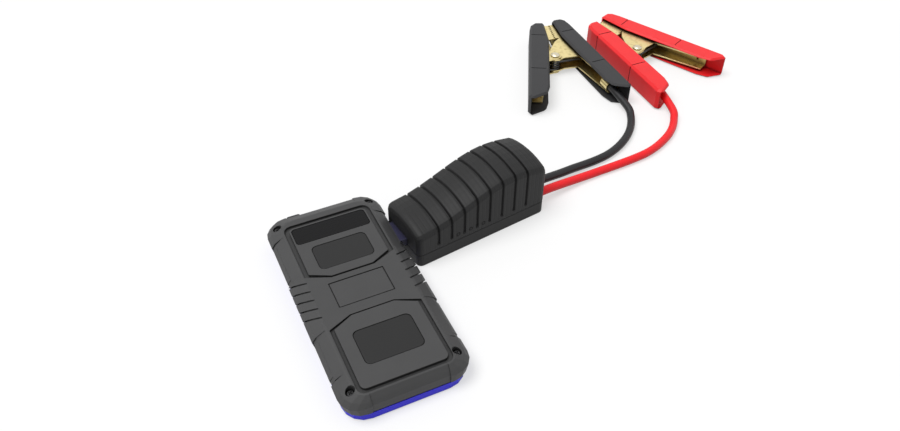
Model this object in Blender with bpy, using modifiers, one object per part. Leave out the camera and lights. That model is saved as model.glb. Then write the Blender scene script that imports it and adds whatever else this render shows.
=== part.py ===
"""Jump starter pack with its plug-in cable module and two battery clamps.

Sizes are in millimetres and are turned into metres where meshes are made.
The pack lies flat with the centre of its footprint at the origin: +X across
it towards the cable module, +Y along it to the end with the ports, +Z up.
"""

from math import acos, atan2, ceil, cos, hypot, pi, radians, sin, tan

import bmesh
import bpy
from mathutils import Matrix, Vector

MM = 0.001
PARTS = "jump_starter_pack"
CUTTERS = "cutters"

# Fits
GAP = 0.3  # between pieces that touch
OVERCUT = 5.0  # how far a cutter runs past the face that it opens

# Pack case
PACK_LENGTH = 150.0
PACK_WIDTH = 70.0
PACK_HEIGHT = 19.5
BASE_HEIGHT = 5.8
CORNER_RADIUS = 11.5
BASE_CORNER_RADIUS = 13.0
BASE_CHAMFER = 1.0
WALL = 2.0
WALL_LEAN = 0.8
WALL_BULGE = 1.5  # how far the side walls stand out at their widest
END_BULGE = 0.2
BULGE_HEIGHT = 12.3
TOP_SKIN = 3.5
FLOOR = 1.8
RIM_DROP = 0.3
SHOULDER_DROP = 4.0
SIDE_SHOULDER = 6.4
NEAR_SHOULDER = 2.8
FAR_SHOULDER = 8.0

# Raised panels and the channels round them
PANEL_SIDE_MARGIN = 10.4
PANEL_FAR_MARGIN = 15.5
PANEL_NEAR_MARGIN = 6.0
WAIST_FAR = 12.4
WAIST_NEAR = -20.3
PANEL_CHAMFER = 12.6
PANEL_CHAMFER_DROP = 6.0
PANEL_RADIUS = 3.2
CHANNEL_WIDTH = 3.0
CHANNEL_DEPTH = 1.9
SEAM = 1.0
DISPLAY_LENGTH = 13.9
DISPLAY_MARGIN = 1.3
DISPLAY_DEPTH = 1.2
PAD_MARGIN = 7.8
PAD_DEPTH = 0.9
PAD_RADIUS = 3.5
UPPER_PAD_FROM_WAIST = 6.7
UPPER_PAD_FROM_DISPLAY = 5.2
LOWER_PAD_FROM_WAIST = 11.6
LOWER_PAD_FROM_EDGE = 13.3
BADGE_NEAR = -12.4
BADGE_FAR = 7.4
BADGE_LINE = 0.55
PIECE_SINK = 0.2  # how far an inlay lies below the face round it

# Fields that stand out from the wall: corner caps, grips, side pads and the collar round the plug
CAP_RISE = 0.6
CAP_LENGTH = 20.0
CAP_WIDTH = 13.0
GRIP_RISE = 0.8
GRIP_FIELD_NEAR = -24.0
GRIP_FIELD_FAR = 20.0
SIDE_PAD_RISE = 0.3
SIDE_PAD_MARGIN = 3.0
COLLAR_RISE = 0.5
COLLAR_MARGIN = 2.2
FIELD_MARGIN = 0.6  # of a field's lower edge over the cover's

# Grip slots and corner lines
GRIP_COUNT = 5
GRIP_PITCH = 6.9
GRIP_MIDDLE = -1.0
GRIP_WIDTH = 0.9
GRIP_DEPTH = 0.5  # below the wall that the grip field stands on
GRIP_SLANT = radians(14)
GRIP_TILT = radians(32)
LINE_WIDTH = 0.7

# Case screws
SCREW_INSET = 5.0
SCREW_END_MARGIN = 9.2
SCREW_HEAD_RADIUS = 2.4
SCREW_HEAD = 1.6
SCREW_SHANK_RADIUS = 1.2
SCREW_RECESS_DEPTH = 5.2
BOSS_WALL = 1.5

# Cells and boards
CELL_COUNT = 3
CELL_THICKNESS = 3.9
CELL_SIDE_MARGIN = 6.0
CELL_CLEAR = 0.6
BOARD = 1.6
BOARD_LIFT = 2.6
BOARD_POST_RADIUS = 2.0

# Jump socket and plug
PLUG_FROM_FAR = 39.0
PLUG_WIDTH = 18.0
PLUG_HEIGHT = 7.0
PLUG_MIDDLE = 10.8
PLUG_DEPTH = 18.6
PLUG_CHAMFER = 1.8
PLUG_TAIL = 9.0
SOCKET_WALL = 0.9
SOCKET_SIDE_WALL = 2.4
SOCKET_BACK = 3.0
CONTACT_SPACING = 9.4
PIN_RADIUS = 1.6
PIN_TAIL = 5.0
TUBE_WALL = 0.6
BUSBAR = 0.8
BUSBAR_WIDTH = 3.0

# Ports, torch and button on the far end
PORT_WALL_GAP = 0.4
USB_X = 7.2
USB_WIDTH = 13.2
USB_HEIGHT = 5.8
USB_LENGTH = 14.0
CHARGE_X = -6.2
CHARGE_WIDTH = 8.9
CHARGE_HEIGHT = 3.2
CHARGE_LENGTH = 7.5
PORT_SHELL = 0.5
TORCH_X = 20.0
TORCH_RADIUS = 3.5
TORCH_HEIGHT = 10.8
BUTTON_X = -17.0
BUTTON_WIDTH = 8.8
BUTTON_HEIGHT = 5.4
BUTTON_MIDDLE = 11.2
BUTTON_STAND = 2.3
BUTTON_TRAVEL = 0.6
BUTTON_FLANGE = 0.9
SWITCH_SIZE = 5.6
STEM_RADIUS = 1.4

# Cable module. It stands at a small angle to its plug and has a frame of its own there.
MODULE_STAND = 4.4
MODULE_SIDE = -3.0  # how far its middle lies from the plug's axis
MODULE_YAW = radians(7.8)
MODULE_LENGTH = 96.0
MODULE_WIDTH = 39.4
PLUG_END_HEIGHT = 28.0
HUMP_HEIGHT = 44.3
HUMP_FROM_END = 26.0
HUMP_LAG = 1.07  # above 1, the climb to the hump starts later
CABLE_END_HEIGHT = 40.2
CROWN = 3.2
MODULE_CORNER = 3.6
CORNER_STEPS = (0.0, 0.6, 1.8)  # distances from an end where its rounding is drawn
MODULE_WALL = 2.0
MODULE_BASE = 9.4
RIB_COUNT = 8
RIB_START = 14.5
RIB_PITCH = 9.4
RIB_WIDTH = 2.2
RIB_DEPTH = 1.3
RIB_FOOT = 13.0
LED_RADIUS = 1.1
LED_HEIGHT = 14.0
LED_RIBS = (1, 2, 3)
MODULE_BOARD_LIFT = 6.2
SCREW_FROM_PLUG_END = 24.0
SCREW_FROM_CABLE_END = 20.0
MODULE_POST_RADIUS = 3.0
RELAY_FROM_END = 25.5
RELAY_LENGTH = 26.0
RELAY_WIDTH = 22.0
RELAY_HEIGHT = 15.5
CABLE_RADIUS = 2.9
CABLE_HEIGHT = 7.6
CABLE_START = 11.5  # how far inside the module a cable starts
BLACK_EXIT = -0.1
RED_EXIT = -9.9
GROMMET_FLANGE = 0.9
GROMMET_LIP = 0.5

# Clamps. A bar's profile has s from its jaw tip and t from its inner edge out to its back.
CLAMP_LENGTH = 111.0
CLAMP_THICKNESS = 17.5
BAR_DEPTH = 16.0
BAR_BACK = 2.0
BAR_SIDE = 1.5
BAR_CHAMFER = 1.7
PIVOT_FROM_TIP = 48.2
LEFT_OFFSET = 4.6
RIGHT_OFFSET = 17.8
HALF_SPREAD = radians(13.4)
JAW_SHEET = 1.1
HANDLE_TAPER = 17.0  # how far from a handle's end its inner edge starts to draw in
JAW_END_MARGIN = 16.0
WEB_FROM_TIP = 18.4
WEB_CORNER_FROM_TIP = 9.4
SLOT_FROM_END = 8.0
SLOT_WIDTH = 1.6
SLOT_HALF = 2.5
TOOTH_COUNT = 8
TOOTH_PITCH = 2.5
TOOTH_DEPTH = 1.0
EAR_RADIUS = 4.8
PIVOT_RADIUS = 2.2
PIVOT_HEAD_RADIUS = 3.4
SPRING_WIRE = 1.5
SPRING_RADIUS = 4.0
SPRING_TURNS = 3
LEG_REACH = 9.0
STRAP_WIDTH = 4.6
STRAP_THICKNESS = 0.8
STRAP_REACH = -9.0  # the strap passes on the jaws' side of the coil
STRAP_LAP = 5.0  # how long the strap lies along a jaw's web
STRAP_BEND = 4.0
STRAP_CLEAR = 2.5  # from the coil
SLEEVE_LENGTH = 9.0
SLEEVE_DEPTH = 6.2  # from the bar's inner edge to the sleeve's axis
SLEEVE_WALL = 0.8
SEAM_TIP = 20.0
SEAM_HANDLE = 70.0
SEAM_DEPTH = 0.5
SEAM_WIDTH = 0.8

# Places of the clamps and routes of the cables' free parts, from where the plug's axis leaves the pack
BLACK_PIVOT = (192.5, 131.8)
BLACK_BISECTOR = radians(-105.9)
RED_PIVOT = (258.3, 113.5)
RED_BISECTOR = radians(-78.5)
BLACK_ROUTE = (
    (111.0, 11.4, 7.3),
    (120.0, 12.7, 6.4),
    (129.4, 14.3, 5.1),
    (139.8, 16.1, 4.0),
    (149.9, 17.3, 3.1),
    (160.3, 18.2, 2.9),
    (170.8, 20.0, 2.9),
    (181.6, 23.9, 2.9),
    (192.0, 29.7, 2.9),
    (200.2, 36.2, 2.9),
    (206.7, 43.3, 2.9),
    (211.6, 51.0, 3.7),
    (214.0, 58.8, 5.8),
)
RED_ROUTE = (
    (112.0, 1.7, 7.1),
    (123.4, 3.5, 5.7),
    (133.4, 5.0, 4.3),
    (143.6, 6.2, 3.3),
    (154.0, 6.9, 2.9),
    (165.0, 7.3, 2.9),
    (176.0, 7.8, 2.9),
    (187.0, 8.6, 2.9),
    (197.5, 10.0, 2.9),
    (207.0, 12.7, 2.9),
    (216.2, 16.6, 2.9),
    (225.0, 21.5, 2.9),
    (232.6, 27.5, 2.9),
    (238.6, 34.2, 3.6),
    (242.7, 41.7, 5.8),
)
ROUTE_STEP = 4 * CABLE_RADIUS

# Values worked out from those above
SHOULDER_HEIGHT = PACK_HEIGHT - SHOULDER_DROP
RIM_HEIGHT = PACK_HEIGHT - RIM_DROP
HOLLOW_TOP = PACK_HEIGHT - TOP_SKIN
PANEL_HALF = PACK_WIDTH / 2 - PANEL_SIDE_MARGIN
UPPER_FAR = PACK_LENGTH / 2 - PANEL_FAR_MARGIN
LOWER_NEAR = -PACK_LENGTH / 2 + PANEL_NEAR_MARGIN
PAD_HALF = PANEL_HALF - PAD_MARGIN
PLUG_Y = PACK_LENGTH / 2 - PLUG_FROM_FAR
COVER_START = BASE_HEIGHT + GAP
SCREW_SEAT = PACK_HEIGHT - SCREW_RECESS_DEPTH - RIM_DROP
BOARD_LOW = FLOOR + BOARD_LIFT
BOARD_HIGH = BOARD_LOW + BOARD
INNER_FAR = PACK_LENGTH / 2 - WALL - WALL_LEAN
PLUG_HALF = PLUG_WIDTH / 2
TUBE_RADIUS = PIN_RADIUS + GAP + TUBE_WALL
MODULE_COVER_START = MODULE_BASE + GAP
MODULE_BOARD_HIGH = MODULE_BOARD_LIFT + BOARD
MODULE_SCREWS = (SCREW_FROM_PLUG_END, MODULE_LENGTH - SCREW_FROM_CABLE_END)
CAP_START = PACK_LENGTH / 2 - CAP_LENGTH
MIDDLE = CLAMP_THICKNESS / 2
CONTACT_LINE = (RIGHT_OFFSET - LEFT_OFFSET) / 2 / cos(HALF_SPREAD) - 0.3


# Making and placing objects


def clear_scene():
    for obj in list(bpy.data.objects):
        bpy.data.objects.remove(obj, do_unlink=True)
    for old in list(bpy.data.collections):
        bpy.data.collections.remove(old)
    for name in (PARTS, CUTTERS):
        bpy.context.scene.collection.children.link(bpy.data.collections.new(name))


def material(name, colour, roughness, metallic=0.0):
    found = bpy.data.materials.get(name)
    if found:
        return found
    made = bpy.data.materials.new(name)
    made.use_nodes = True
    made.diffuse_color = (*colour, 1.0)
    shader = made.node_tree.nodes["Principled BSDF"]
    shader.inputs["Base Color"].default_value = (*colour, 1.0)
    shader.inputs["Roughness"].default_value = roughness
    shader.inputs["Metallic"].default_value = metallic
    return made


def empty(name, location=(0, 0, 0), turn=0.0, parent=None):
    made = bpy.data.objects.new(name, None)
    made.empty_display_size = 0.01
    bpy.data.collections[PARTS].objects.link(made)
    made.location = Vector(location) * MM
    made.rotation_euler = (0, 0, turn)
    made.parent = parent
    return made


def add(name, data, finish=None, parent=None, location=(0, 0, 0), rotation=(0, 0, 0)):
    """An object of the part, or a cutter where it has no finish."""
    made = bpy.data.objects.new(name, data)
    bpy.data.collections[PARTS if finish else CUTTERS].objects.link(made)
    made.location = Vector(location) * MM
    made.rotation_euler = rotation
    made.parent = parent
    if finish:
        data.materials.append(finish)
    else:
        made.hide_render = True
        made.display_type = "WIRE"
    return made


def finished_mesh(name, bm, smooth=False):
    bmesh.ops.remove_doubles(bm, verts=bm.verts, dist=1e-6)
    bmesh.ops.recalc_face_normals(bm, faces=bm.faces)
    mesh = bpy.data.meshes.new(name)
    bm.to_mesh(mesh)
    bm.free()
    if smooth:
        mesh.shade_smooth()
        mesh.set_sharp_from_angle(angle=radians(35))
    return mesh


def along(axis):
    """The turn that puts a shape made along Z along another axis: X takes (y, z), Y takes (z, x)."""
    columns = {"Z": (0, 1, 2), "X": (1, 2, 0), "Y": (2, 0, 1)}[axis]
    turn = Matrix.Identity(4)
    for old, new in enumerate(columns):
        turn.col[old] = Vector([1.0 if row == new else 0.0 for row in range(4)])
    return turn


def plate(name, outline, low, high, finish=None, axis="Z", **place):
    """A flat outline, filled, and extruded from low to high along an axis."""
    curve = bpy.data.curves.new(name, "CURVE")
    curve.dimensions = "2D"
    curve.fill_mode = "BOTH"
    curve.extrude = (high - low) / 2 * MM
    spline = curve.splines.new("POLY")
    spline.points.add(len(outline) - 1)
    spline.use_cyclic_u = True
    for point, (x, y) in zip(spline.points, outline):
        point.co = (x * MM, y * MM, 0, 1)
    flat = bpy.data.objects.new(name, curve)
    bpy.data.collections[CUTTERS].objects.link(flat)
    graph = bpy.context.evaluated_depsgraph_get()
    mesh = bpy.data.meshes.new_from_object(flat.evaluated_get(graph))
    bpy.data.objects.remove(flat)
    bm = bmesh.new()
    bm.from_mesh(mesh)
    bmesh.ops.remove_doubles(bm, verts=bm.verts, dist=1e-6)
    bmesh.ops.dissolve_limit(bm, angle_limit=radians(0.1), verts=bm.verts, edges=bm.edges)
    bm.transform(along(axis) @ Matrix.Translation((0, 0, (low + high) / 2 * MM)))
    return add(name, finished_mesh(name, bm), finish, **place)


def box(name, low, high, finish=None, **place):
    bm = bmesh.new()
    bmesh.ops.create_cube(bm, size=1)
    low, high = Vector(low) * MM, Vector(high) * MM
    bm.transform(Matrix.Translation((low + high) / 2) @ Matrix.Diagonal((*(high - low), 1)))
    return add(name, finished_mesh(name, bm), finish, **place)


def rod(name, centre, radius, low, high, finish=None, axis="Z", sides=24, **place):
    """A round rod from low to high along an axis; centre is given across that axis, as for a plate."""
    bm = bmesh.new()
    bmesh.ops.create_cone(
        bm,
        cap_ends=True,
        segments=sides,
        radius1=radius * MM,
        radius2=radius * MM,
        depth=(high - low) * MM,
    )
    shift = Vector((*centre, (low + high) / 2)) * MM
    bm.transform(along(axis) @ Matrix.Translation(shift))
    return add(name, finished_mesh(name, bm, smooth=True), finish, **place)


def loft(name, rings, finish=None, smooth=False, **place):
    """Rings of as many points each, joined one after another, with the first and the last closed."""
    bm = bmesh.new()
    loops = [[bm.verts.new(Vector(point) * MM) for point in ring] for ring in rings]
    for near, far in zip(loops, loops[1:]):
        for i, point in enumerate(near):
            j = (i + 1) % len(near)
            bm.faces.new((point, near[j], far[j], far[i]))
    bm.faces.new(loops[0])
    bm.faces.new(loops[-1])
    return add(name, finished_mesh(name, bm, smooth), finish, **place)


def turned(name, profile, finish, sides=20, **place):
    """A turned shape about Z from (radius, height) points that run down its outside."""
    bm = bmesh.new()
    points = [bm.verts.new((radius * MM, 0, height * MM)) for radius, height in profile]
    for upper, lower in zip(points, points[1:]):
        bm.edges.new((upper, lower))
    mesh = bpy.data.meshes.new(name)
    bm.to_mesh(mesh)
    bm.free()
    made = add(name, mesh, finish, **place)
    screw = made.modifiers.new("turn", "SCREW")
    screw.steps = screw.render_steps = sides
    screw.use_merge_vertices = True
    screw.merge_threshold = 1e-5
    screw.use_smooth_shade = True
    return made


def tube(name, points, radius, finish, resolution=2, **place):
    curve = bpy.data.curves.new(name, "CURVE")
    curve.dimensions = "3D"
    curve.bevel_depth = radius * MM
    curve.bevel_resolution = resolution
    curve.use_fill_caps = True
    spline = curve.splines.new("POLY")
    spline.points.add(len(points) - 1)
    for point, place_of in zip(spline.points, points):
        point.co = (*(Vector(place_of) * MM), 1)
    return add(name, curve, finish, **place)


def change(obj, operation, others):
    for other in others:
        made = obj.modifiers.new(other.name, "BOOLEAN")
        made.operation = operation
        made.object = other


def cut(obj, *others):
    change(obj, "DIFFERENCE", others)


def fuse(obj, *others):
    change(obj, "UNION", others)


def bevel(obj, width, segments=1, angle=40):
    made = obj.modifiers.new("bevel", "BEVEL")
    made.width = width * MM
    made.segments = segments
    made.limit_method = "ANGLE"
    made.angle_limit = radians(angle)


# Outlines and routes


def rounded(corners, steps=4):
    """An outline from (x, y, radius) corners, each one rounded by an arc."""
    outline = []
    for i, (x, y, radius) in enumerate(corners):
        corner = Vector((x, y))
        back = (Vector(corners[i - 1][:2]) - corner).normalized()
        ahead = (Vector(corners[(i + 1) % len(corners)][:2]) - corner).normalized()
        if radius <= 0:
            outline.append(tuple(corner))
            continue
        half = back.angle(ahead) / 2
        centre = corner + (back + ahead).normalized() * radius / sin(half)
        first = corner + back * radius / tan(half) - centre
        last = corner + ahead * radius / tan(half) - centre
        sweep = pi - 2 * half
        for step in range(steps + 1):
            share = step / steps
            spoke = first * sin((1 - share) * sweep) + last * sin(share * sweep)
            outline.append(tuple(centre + spoke / sin(sweep)))
    return outline


def rounded_box(x0, y0, x1, y1, radius, steps=4):
    corners = [(x0, y0, radius), (x1, y0, radius), (x1, y1, radius), (x0, y1, radius)]
    return rounded(corners, steps)


def smooth_route(points, step):
    """Points every step millimetres along a Catmull-Rom curve through the route's own points."""
    places = [Vector(point) for point in points]
    places = [places[0] * 2 - places[1], *places, places[-1] * 2 - places[-2]]
    fine = []
    for a, b, c, d in zip(places, places[1:], places[2:], places[3:]):
        for i in range(20):
            u = i / 20
            square = 2 * a - 5 * b + 4 * c - d
            cube = 3 * b - a - 3 * c + d
            fine.append(0.5 * (2 * b + (c - a) * u + square * u**2 + cube * u**3))
    fine.append(places[-2])
    lengths = [0.0]
    for a, b in zip(fine, fine[1:]):
        lengths.append(lengths[-1] + (b - a).length)
    count = ceil(lengths[-1] / step)
    route = []
    i = 0
    for k in range(count + 1):
        wanted = lengths[-1] * k / count
        while i < len(fine) - 2 and lengths[i + 1] < wanted:
            i += 1
        share = (wanted - lengths[i]) / (lengths[i + 1] - lengths[i])
        route.append(fine[i].lerp(fine[i + 1], share))
    return route


# Pack case


def pack_ring(z, side, near, far, radius):
    """The pack's rounded outline at height z, set in from its sides, near end and far end."""
    outline = rounded_box(
        -PACK_WIDTH / 2 + side,
        -PACK_LENGTH / 2 + near,
        PACK_WIDTH / 2 - side,
        PACK_LENGTH / 2 - far,
        radius,
    )
    return [(x, y, z) for x, y in outline]


def panel_outline(edge, waist, out=0.0, seam=0.0):
    """A raised panel from its end edge to the waist, where its corners are cut; out and seam widen it."""
    half = PANEL_HALF + out
    away = 1 if edge > waist else -1
    flat = PANEL_CHAMFER + seam / 2
    corner = waist + away * (PANEL_CHAMFER_DROP - seam)
    edge = edge + away * out
    outline = [
        (-half, edge, PANEL_RADIUS + out * 0.6),
        (-half, corner, 0),
        (-flat, waist - away * seam, 0),
        (flat, waist - away * seam, 0),
        (half, corner, 0),
        (half, edge, PANEL_RADIUS + out * 0.6),
    ]
    return rounded(outline)


def inlays():
    """(name, outline maker) of each piece let into the top: it is called with how far to grow the outline."""
    display_far = UPPER_FAR - DISPLAY_MARGIN
    display_half = PANEL_HALF - DISPLAY_MARGIN
    display_near = display_far - DISPLAY_LENGTH
    upper_near = WAIST_FAR + UPPER_PAD_FROM_WAIST
    upper_far = display_near - UPPER_PAD_FROM_DISPLAY
    lower_near = LOWER_NEAR + LOWER_PAD_FROM_EDGE
    lower_far = WAIST_NEAR - LOWER_PAD_FROM_WAIST

    def make(half, near, far, radius):
        return lambda grow: rounded_box(-half - grow, near - grow, half + grow, far + grow, radius)

    return {
        "display_window": make(display_half, display_near, display_far, PANEL_RADIUS - 0.8),
        "upper_pad": make(PAD_HALF, upper_near, upper_far, PAD_RADIUS),
        "lower_pad": make(PAD_HALF, lower_near, lower_far, PAD_RADIUS),
        "badge_plate": make(PAD_HALF - BADGE_LINE, BADGE_NEAR + BADGE_LINE, BADGE_FAR - BADGE_LINE, 0.4),
    }


def inlay_depth(name):
    return DISPLAY_DEPTH if name == "display_window" else PAD_DEPTH


def inlay_gap(name):
    return BADGE_LINE if name == "badge_plate" else GAP


def screw_places():
    x = PACK_WIDTH / 2 - SCREW_INSET
    y = PACK_LENGTH / 2 - SCREW_END_MARGIN
    return [(-x, y), (x, y), (-x, -y), (x, -y)]


def pack_hollow(pack):
    lean = WALL + WALL_LEAN
    return loft(
        "pack_hollow",
        [
            pack_ring(-OVERCUT, WALL, WALL, WALL, CORNER_RADIUS - WALL),
            pack_ring(SHOULDER_HEIGHT - WALL, lean, lean, lean, CORNER_RADIUS - WALL),
            pack_ring(
                HOLLOW_TOP,
                SIDE_SHOULDER,
                WALL + NEAR_SHOULDER,
                FAR_SHOULDER,
                CORNER_RADIUS - WALL,
            ),
        ],
        parent=pack,
    )


def case_rings(out=0.0, drop=0.0):
    """The upper cover's rings from its foot to its rim, set out by out; the rim is lowered by drop."""
    lean = WALL_LEAN - out
    return [
        pack_ring(COVER_START, -out, -out, -out, CORNER_RADIUS),
        pack_ring(BULGE_HEIGHT, -WALL_BULGE - out, -END_BULGE - out, -END_BULGE - out, CORNER_RADIUS),
        pack_ring(SHOULDER_HEIGHT, lean, lean, lean, CORNER_RADIUS),
        pack_ring(
            RIM_HEIGHT - drop,
            SIDE_SHOULDER - out,
            NEAR_SHOULDER - out,
            FAR_SHOULDER - out,
            CORNER_RADIUS - 3,
        ),
    ]


def slot_profile(depth, from_rim):
    """(z, x) outline of a slot that follows the cover's shoulder and wall at a depth, for the side at +X."""
    half = PACK_WIDTH / 2
    start = half - SIDE_SHOULDER + from_rim
    outside = half + WALL_BULGE + OVERCUT
    return [
        (RIM_HEIGHT + OVERCUT, start),
        (RIM_HEIGHT - depth, start),
        (SHOULDER_HEIGHT - depth, half - WALL_LEAN - depth / 2),
        (BULGE_HEIGHT, half + WALL_BULGE - depth),
        (BASE_HEIGHT / 2, half - depth),
        (BASE_HEIGHT / 2, outside),
        (RIM_HEIGHT + OVERCUT, outside),
    ]


def grip_cutters(pack):
    """Slanted slots over the shoulder and down the wall, on both sides of the waist."""
    hinge = Vector((PACK_WIDTH / 2 - SIDE_SHOULDER, RIM_HEIGHT))
    profile = [(z - hinge.y, x - hinge.x) for z, x in slot_profile(GRIP_DEPTH, -2 * GRIP_DEPTH)]
    made = []
    for side in (-1, 1):
        for i in range(GRIP_COUNT):
            y = GRIP_MIDDLE + GRIP_PITCH * (i - (GRIP_COUNT - 1) / 2)
            slot = plate(
                f"grip_{'left' if side < 0 else 'right'}_{i + 1}",
                [(z, side * x) for z, x in profile],
                -GRIP_WIDTH / 2,
                GRIP_WIDTH / 2,
                axis="Y",
                parent=pack,
                location=(side * hinge.x, y, hinge.y),
                rotation=(GRIP_TILT, 0, side * GRIP_SLANT),
            )
            made.append(slot)
    return made


def corner_lines(pack):
    """Thin straight slots at the edges of the corner caps."""
    profile = slot_profile(GRIP_DEPTH, 1.0)
    made = []
    for end in (-1, 1):
        y = end * CAP_START
        for side in (-1, 1):
            name = f"corner_line_{'near' if end < 0 else 'far'}_{'left' if side < 0 else 'right'}"
            outline = [(z, side * x) for z, x in profile]
            made.append(plate(name, outline, y - LINE_WIDTH / 2, y + LINE_WIDTH / 2, axis="Y", parent=pack))
    return made


def raised_fields(pack):
    """Pieces of the cover's skin that stand out from it: caps, grips, side pads and the plug's collar."""
    outside = PACK_WIDTH / 2 + OVERCUT
    middle = PACK_WIDTH / 2 - SIDE_SHOULDER
    end = PACK_LENGTH / 2 + OVERCUT
    low, high = COVER_START + FIELD_MARGIN, PACK_HEIGHT
    pad_high = SHOULDER_HEIGHT - FIELD_MARGIN
    far_pad = GRIP_FIELD_FAR + SIDE_PAD_MARGIN
    near_pad = GRIP_FIELD_NEAR - SIDE_PAD_MARGIN
    pad_end = CAP_START - SIDE_PAD_MARGIN
    collar = PLUG_HALF + COLLAR_MARGIN
    # name, rise, side, inner edge on X, Y from and to, and Z from and to
    fields = [
        ("left_pad_1", SIDE_PAD_RISE, -1, middle, far_pad, pad_end, low, pad_high),
        ("left_pad_2", SIDE_PAD_RISE, -1, middle, -pad_end, near_pad, low, pad_high),
        ("right_pad", SIDE_PAD_RISE, 1, middle, -pad_end, near_pad, low, pad_high),
        ("plug_collar", COLLAR_RISE, 1, middle, PLUG_Y - collar, PLUG_Y + collar, low, pad_high),
    ]
    cap = PACK_WIDTH / 2 - CAP_WIDTH
    near_grip, far_grip = GRIP_FIELD_NEAR, GRIP_FIELD_FAR
    for side, word in ((-1, "left"), (1, "right")):
        fields.append((f"{word}_near_cap", CAP_RISE, side, cap, -end, -CAP_START, low, high))
        fields.append((f"{word}_far_cap", CAP_RISE, side, cap, CAP_START, end, low, high))
        fields.append((f"{word}_grips", GRIP_RISE, side, middle - 1, near_grip, far_grip, low, high))
    made = []
    for name, rise, side, inner, near, far, foot, head in fields:
        field = loft(name, case_rings(rise, RIM_DROP), parent=pack)
        x0, x1 = sorted((side * inner, side * outside))
        change(field, "INTERSECT", [box(f"{name}_limit", (x0, near, foot), (x1, far, head), parent=pack)])
        made.append(field)
    return made


def far_end_cutters(pack):
    """Openings in the far wall for the ports, the torch and the button."""
    low, high = INNER_FAR - OVERCUT / 2, PACK_LENGTH / 2 + OVERCUT
    half_usb = USB_WIDTH / 2 + PORT_WALL_GAP
    half_charge = CHARGE_WIDTH / 2 + PORT_WALL_GAP
    base = BOARD_HIGH + GAP
    button_half = BUTTON_WIDTH / 2 + GAP
    button_low = BUTTON_MIDDLE - BUTTON_HEIGHT / 2 - GAP
    button_high = BUTTON_MIDDLE + BUTTON_HEIGHT / 2 + GAP
    return [
        box(
            "usb_opening",
            (USB_X - half_usb, low, base - PORT_WALL_GAP),
            (USB_X + half_usb, high, base + USB_HEIGHT + PORT_WALL_GAP),
            parent=pack,
        ),
        box(
            "charge_opening",
            (CHARGE_X - half_charge, low, base - PORT_WALL_GAP),
            (CHARGE_X + half_charge, high, base + CHARGE_HEIGHT + PORT_WALL_GAP),
            parent=pack,
        ),
        rod("torch_opening", (TORCH_HEIGHT, TORCH_X), TORCH_RADIUS + GAP, low, high, axis="Y", parent=pack),
        box(
            "button_opening",
            (BUTTON_X - button_half, low, button_low),
            (BUTTON_X + button_half, high, button_high),
            parent=pack,
        ),
    ]


def socket_cutters(pack):
    """Room for the socket behind the side wall, and the plug's way through that wall."""
    half = PLUG_HALF + GAP + SOCKET_SIDE_WALL + GAP
    rise = PLUG_HEIGHT / 2 + GAP + SOCKET_WALL + GAP
    wall_inner = PACK_WIDTH / 2 - WALL - GAP
    room = box(
        "socket_room",
        (wall_inner - PLUG_DEPTH, PLUG_Y - half, PLUG_MIDDLE - rise),
        (wall_inner, PLUG_Y + half, PLUG_MIDDLE + rise),
        parent=pack,
    )
    way = box(
        "plug_way",
        (wall_inner - WALL, PLUG_Y - PLUG_HALF - GAP, PLUG_MIDDLE - PLUG_HEIGHT / 2 - GAP),
        (PACK_WIDTH / 2 + OVERCUT, PLUG_Y + PLUG_HALF + GAP, PLUG_MIDDLE + PLUG_HEIGHT / 2 + GAP),
        parent=pack,
    )
    return [room, way]


def top_cover(pack, finish):
    cover = loft("top_cover", case_rings(), finish, parent=pack)
    bevel(cover, 0.5, angle=25)
    fuse(cover, *raised_fields(pack))
    cut(cover, pack_hollow(pack))
    wells, posts, holes = [], [], []
    for i, (x, y) in enumerate(screw_places()):
        at = (x, y)
        well_radius = SCREW_HEAD_RADIUS + GAP
        post_radius = well_radius + BOSS_WALL
        bore = SCREW_SHANK_RADIUS + GAP
        low, top = COVER_START + GAP, HOLLOW_TOP - 0.4
        posts.append(rod(f"post_{i + 1}", at, post_radius, low, top, parent=pack))
        wells.append(rod(f"well_{i + 1}", at, well_radius, SCREW_SEAT, PACK_HEIGHT + OVERCUT, parent=pack))
        holes.append(rod(f"shank_hole_{i + 1}", at, bore, 0, PACK_HEIGHT, sides=12, parent=pack))
    envelope = loft(
        "post_envelope",
        [
            pack_ring(0, GAP, GAP, GAP, CORNER_RADIUS),
            pack_ring(SHOULDER_HEIGHT, WALL_LEAN + GAP, WALL_LEAN + GAP, WALL_LEAN + GAP, CORNER_RADIUS),
            pack_ring(RIM_HEIGHT, SIDE_SHOULDER + 1, NEAR_SHOULDER + 1, FAR_SHOULDER + 1, CORNER_RADIUS - 3),
        ],
        parent=pack,
    )
    for post in posts:
        change(post, "INTERSECT", [envelope])
    fuse(cover, *posts)
    cut(cover, *wells, *holes)
    floor = PACK_HEIGHT - CHANNEL_DEPTH
    for name, edge, waist in (("upper", UPPER_FAR, WAIST_FAR), ("lower", LOWER_NEAR, WAIST_NEAR)):
        channel = panel_outline(edge, waist, CHANNEL_WIDTH if name == "upper" else CHANNEL_WIDTH * 0.8, SEAM)
        cut(cover, plate(f"{name}_channel", channel, floor, PACK_HEIGHT + OVERCUT, parent=pack))
        fuse(cover, plate(f"{name}_panel", panel_outline(edge, waist), floor - 0.8, PACK_HEIGHT, parent=pack))
    for name, outline in inlays().items():
        level = PACK_HEIGHT if name != "badge_plate" else RIM_HEIGHT
        seat = level - inlay_depth(name)
        cut(cover, plate(f"{name}_seat", outline(inlay_gap(name)), seat, PACK_HEIGHT + OVERCUT, parent=pack))
    cut(cover, plate("display_opening", inlays()["display_window"](-2.4), 0, PACK_HEIGHT, parent=pack))
    cut(cover, *socket_cutters(pack), *far_end_cutters(pack), *grip_cutters(pack), *corner_lines(pack))
    return cover


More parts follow.
